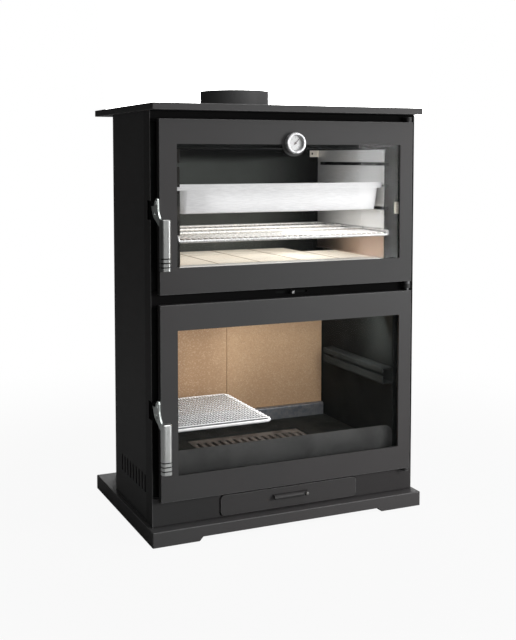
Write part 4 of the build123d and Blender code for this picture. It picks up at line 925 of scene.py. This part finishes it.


# Handles: a cut steel plate hook on a pivot in each door's edge, and a grip of turned bar with three grooves.
# They are bare satin steel, brushed along the grip, a little greasy, and dark in the grooves.
# The firebox's grip has the same steel made 2.9 times lighter, as painted light.
handle_silver = (0.235, 0.24, 0.236)
arm_silver = (0.6, 0.64, 0.62)
handle_tarnish = (0.17, 0.175, 0.165)
groove_black = (0.01, 0.01, 0.01)
grip_light_levels = {"oven": 1.0, "firebox": 2.9}
grip_grain = (1600.0, 1600.0, 50.0)
arm_grain = (60.0, 60.0, 1500.0)
grease_scale = 35.0
groove_pitch = 0.008
groove_half_width = 0.0013
groove_zone_low = (0.004, 0.005)
groove_zone_high = (0.029, 0.028)
for door, brightness in grip_light_levels.items():
    grip_steel = Finish(door + "_grip_steel")
    grip_silver = shade(handle_silver, brightness)
    brushing = grip_steel.place.stretched(*grip_grain).noise(1.0, 4.0, 0.65)
    greasy = grip_steel.place.noise(grease_scale, 4.0, 0.6).ramp(0.45, 0.75) * 0.35
    worn = greasy.mixed(grip_silver, shade(handle_tarnish, brightness))
    brushed = (brushing.spread() * 0.3).mixed(worn, shade(grip_silver, 1.25))
    rise = grip_steel.place.axis(2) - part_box(door + "_handle_grip")[0].z
    grooved = rise.folded(groove_pitch / 2).ramp(groove_half_width, groove_half_width * 0.6)
    grooved = grooved * rise.ramp(*groove_zone_low) * rise.ramp(*groove_zone_high)
    grip_steel.set(
        Base_Color=grooved.mixed(brushed, groove_black),
        Metallic=1.0,
        Roughness=brushing.ramp(0.25, 0.75, 0.26, 0.42),
    )
    grip_steel.bump(brushing, 0.25, 0.00008)
    dress(grip_steel, door + "_handle_grip")
    arm_steel = sheet_metal(door + "_arm_steel", arm_silver, handle_silver, arm_grain, 0.36, 0.95)
    dress(arm_steel, door + "_handle_arm", door + "_handle_pivot")


# Hinge pins, shield bolts and spacers: turned steel with a dull zinc coat.
# The fine rings that a lathe leaves show through it.
zinc_grey = (0.11, 0.112, 0.115)
zinc_stain = (0.09, 0.085, 0.07)
zinc_grain = (500.0, 500.0, 1500.0)
zinc = sheet_metal("zinc_plate", zinc_grey, zinc_stain, zinc_grain, 0.5, 0.8, 0.3)
dress(zinc, "hinge_pins", "shield_bolts", "shield_spacers")

# Air knob: a small turned button of grey metal under the middle bar.
# It is screwed on the air slider's shank and moves with it.
knob_grey = (0.17, 0.17, 0.17)
knob_stain = (0.12, 0.12, 0.12)
knob_grain = (900.0, 300.0, 900.0)
dress(sheet_metal("knob_metal", knob_grey, knob_stain, knob_grain, 0.45, 0.8), "air_knob")


# Light: a plain, soft studio, dim all round.
# The camera sees a white background, also through glass, and gloss sees it brightest to the right and front.
ambient = 0.06
bright_side = (0.86, -0.42, 0.28)
bright_side_range = (0.1, 1.0)


def ray(tree, kind):
    """One for the rays of a kind that the Light Path node names."""
    return Wire(tree).node("ShaderNodeLightPath", {}, output=kind)


def seen_directly(tree):
    """One for what the camera sees, straight or through glass."""
    return ray(tree, "Is Camera Ray").most(ray(tree, "Is Transmission Ray"))


world = bpy.data.worlds.new("studio")
bpy.context.scene.world = world
world.use_nodes = True
air = world.node_tree
glossy = ray(air, "Is Glossy Ray")
look = Wire(air).node("ShaderNodeTexCoord", {}, output=0)
facing = look.node("ShaderNodeVectorMath", {0: look, 1: bright_side}, output=1, operation="DOT_PRODUCT")
mirrored = glossy * facing.ramp(*bright_side_range, *bright_side_range)
level = seen_directly(air).most(mirrored).most(ambient * (1.0 - glossy))
background = air.nodes["Background"]
air.links.new(level.socket, background.inputs["Strength"])
background.inputs["Color"].default_value = (1.0, 1.0, 1.0, 1.0)

# Floor: a wide matt sheet. The camera sees it white, with the stove's soft shadow near the plinth.
# Gloss sees it white to the right alone.
floor_size = 30.0
floor_grey = 0.34
shadow_share = 0.07
shadow_near = 0.55
shadow_far = 1.6
mirrored_x = (0.4, 2.0)
clear_selection()
bpy.ops.mesh.primitive_plane_add(size=floor_size, location=(0.0, 0.0, 0.0))
floor = bpy.context.object
floor.name = "floor"
ground = Finish("floor_white")
ground.set(Base_Color=(floor_grey, floor_grey, floor_grey), Roughness=0.9)
away = ground.place.node("ShaderNodeVectorMath", {0: ground.place}, output=1, operation="LENGTH")
whiteness = seen_directly(ground.tree) * away.ramp(shadow_near, shadow_far, 1.0 - shadow_share, 1.0)
mirrored = ray(ground.tree, "Is Glossy Ray") * ground.place.axis(0).ramp(*mirrored_x)
ground_glow = Wire(ground.tree).node("ShaderNodeEmission", {"Color": (1.0, 1.0, 1.0, 1.0), "Strength": 1.0})
ground_mix = whiteness.node(
    "ShaderNodeMixShader",
    {0: whiteness.most(mirrored), 1: Wire(ground.tree, ground.shader.outputs[0]), 2: ground_glow},
)
ground.tree.links.new(ground_mix.socket, ground.tree.nodes["Material Output"].inputs["Surface"])
floor.data.materials.append(ground.material)

# Lamps: large soft ones to the front right, front, above and behind light the stove.
# Small ones that the camera cannot see lift the oven and the firebox as in the photograph.
# Each has its name, its place, the point that it faces, its size, its power in watts, and if the camera may see it.
lamps = [
    ("front_right", (1.6, -1.8, 0.7), (0.1, -0.1, 0.3), (0.9, 0.9), 36.0, True),
    ("front", (-0.1, -3.2, 1.0), (0.0, 0.0, 0.3), (1.0, 1.0), 12.0, True),
    ("above", (0.4, -0.8, 3.2), (0.0, 0.0, 0.4), (2.0, 2.0), 42.0, True),
    ("behind", (1.4, 3.0, 1.8), (0.0, 0.0, 0.5), (1.8, 1.8), 60.0, True),
    ("oven_shelf", (0.0, -0.01, 0.617), (0.0, -0.01, 0.0), (0.42, 0.24), 0.34, False),
    ("oven_rear", (-0.08, -0.05, 0.728), (-0.08, 1.0, 0.62), (0.26, 0.025), 0.1, False),
    ("oven_front", (0.05, -0.158, 0.64), (0.05, 1.0, 0.66), (0.42, 0.02), 0.027, False),
    ("oven_side", (0.0, -0.07, 0.715), (1.0, -0.07, 0.71), (0.1, 0.05), 0.34, False),
    ("oven_low", (0.03, -0.06, 0.603), (1.0, -0.06, 0.6), (0.1, 0.025), 0.12, False),
    ("firebox", (0.0, -0.1, 0.41), (0.0, 0.17, 0.2), (0.44, 0.12), 1.02, False),
]
for lamp_name, place, target, size, power, shown in lamps:
    light = bpy.data.lights.new(lamp_name, "AREA")
    light.shape = "RECTANGLE"
    light.size, light.size_y = size
    light.energy = power
    lamp = bpy.data.objects.new(lamp_name, light)
    bpy.context.scene.collection.objects.link(lamp)
    lamp.location = place
    lamp.rotation_euler = (Vector(target) - Vector(place)).to_track_quat("-Z", "Y").to_euler()
    lamp.visible_camera = shown


# Camera: where the photograph was taken from.
# It is level sideways and pitched slightly down.
camera_place = (-0.88769, -1.97093, 0.73283)
camera_azimuth = 24.30
camera_pitch = 3.85
focal_pixels = 1024.24
frame_height_pixels = 640
centre_above_pixels = 94
lens_data = bpy.data.cameras.new("camera")
lens_data.lens = focal_pixels / frame_height_pixels * lens_data.sensor_width
lens_data.shift_y = -centre_above_pixels / frame_height_pixels
camera = bpy.data.objects.new("camera", lens_data)
bpy.context.scene.collection.objects.link(camera)
camera.location = camera_place
camera.rotation_euler = (math.radians(90 - camera_pitch), 0.0, -math.radians(camera_azimuth))
bpy.context.scene.camera = camera
bpy.context.scene.view_settings.view_transform = "Standard"
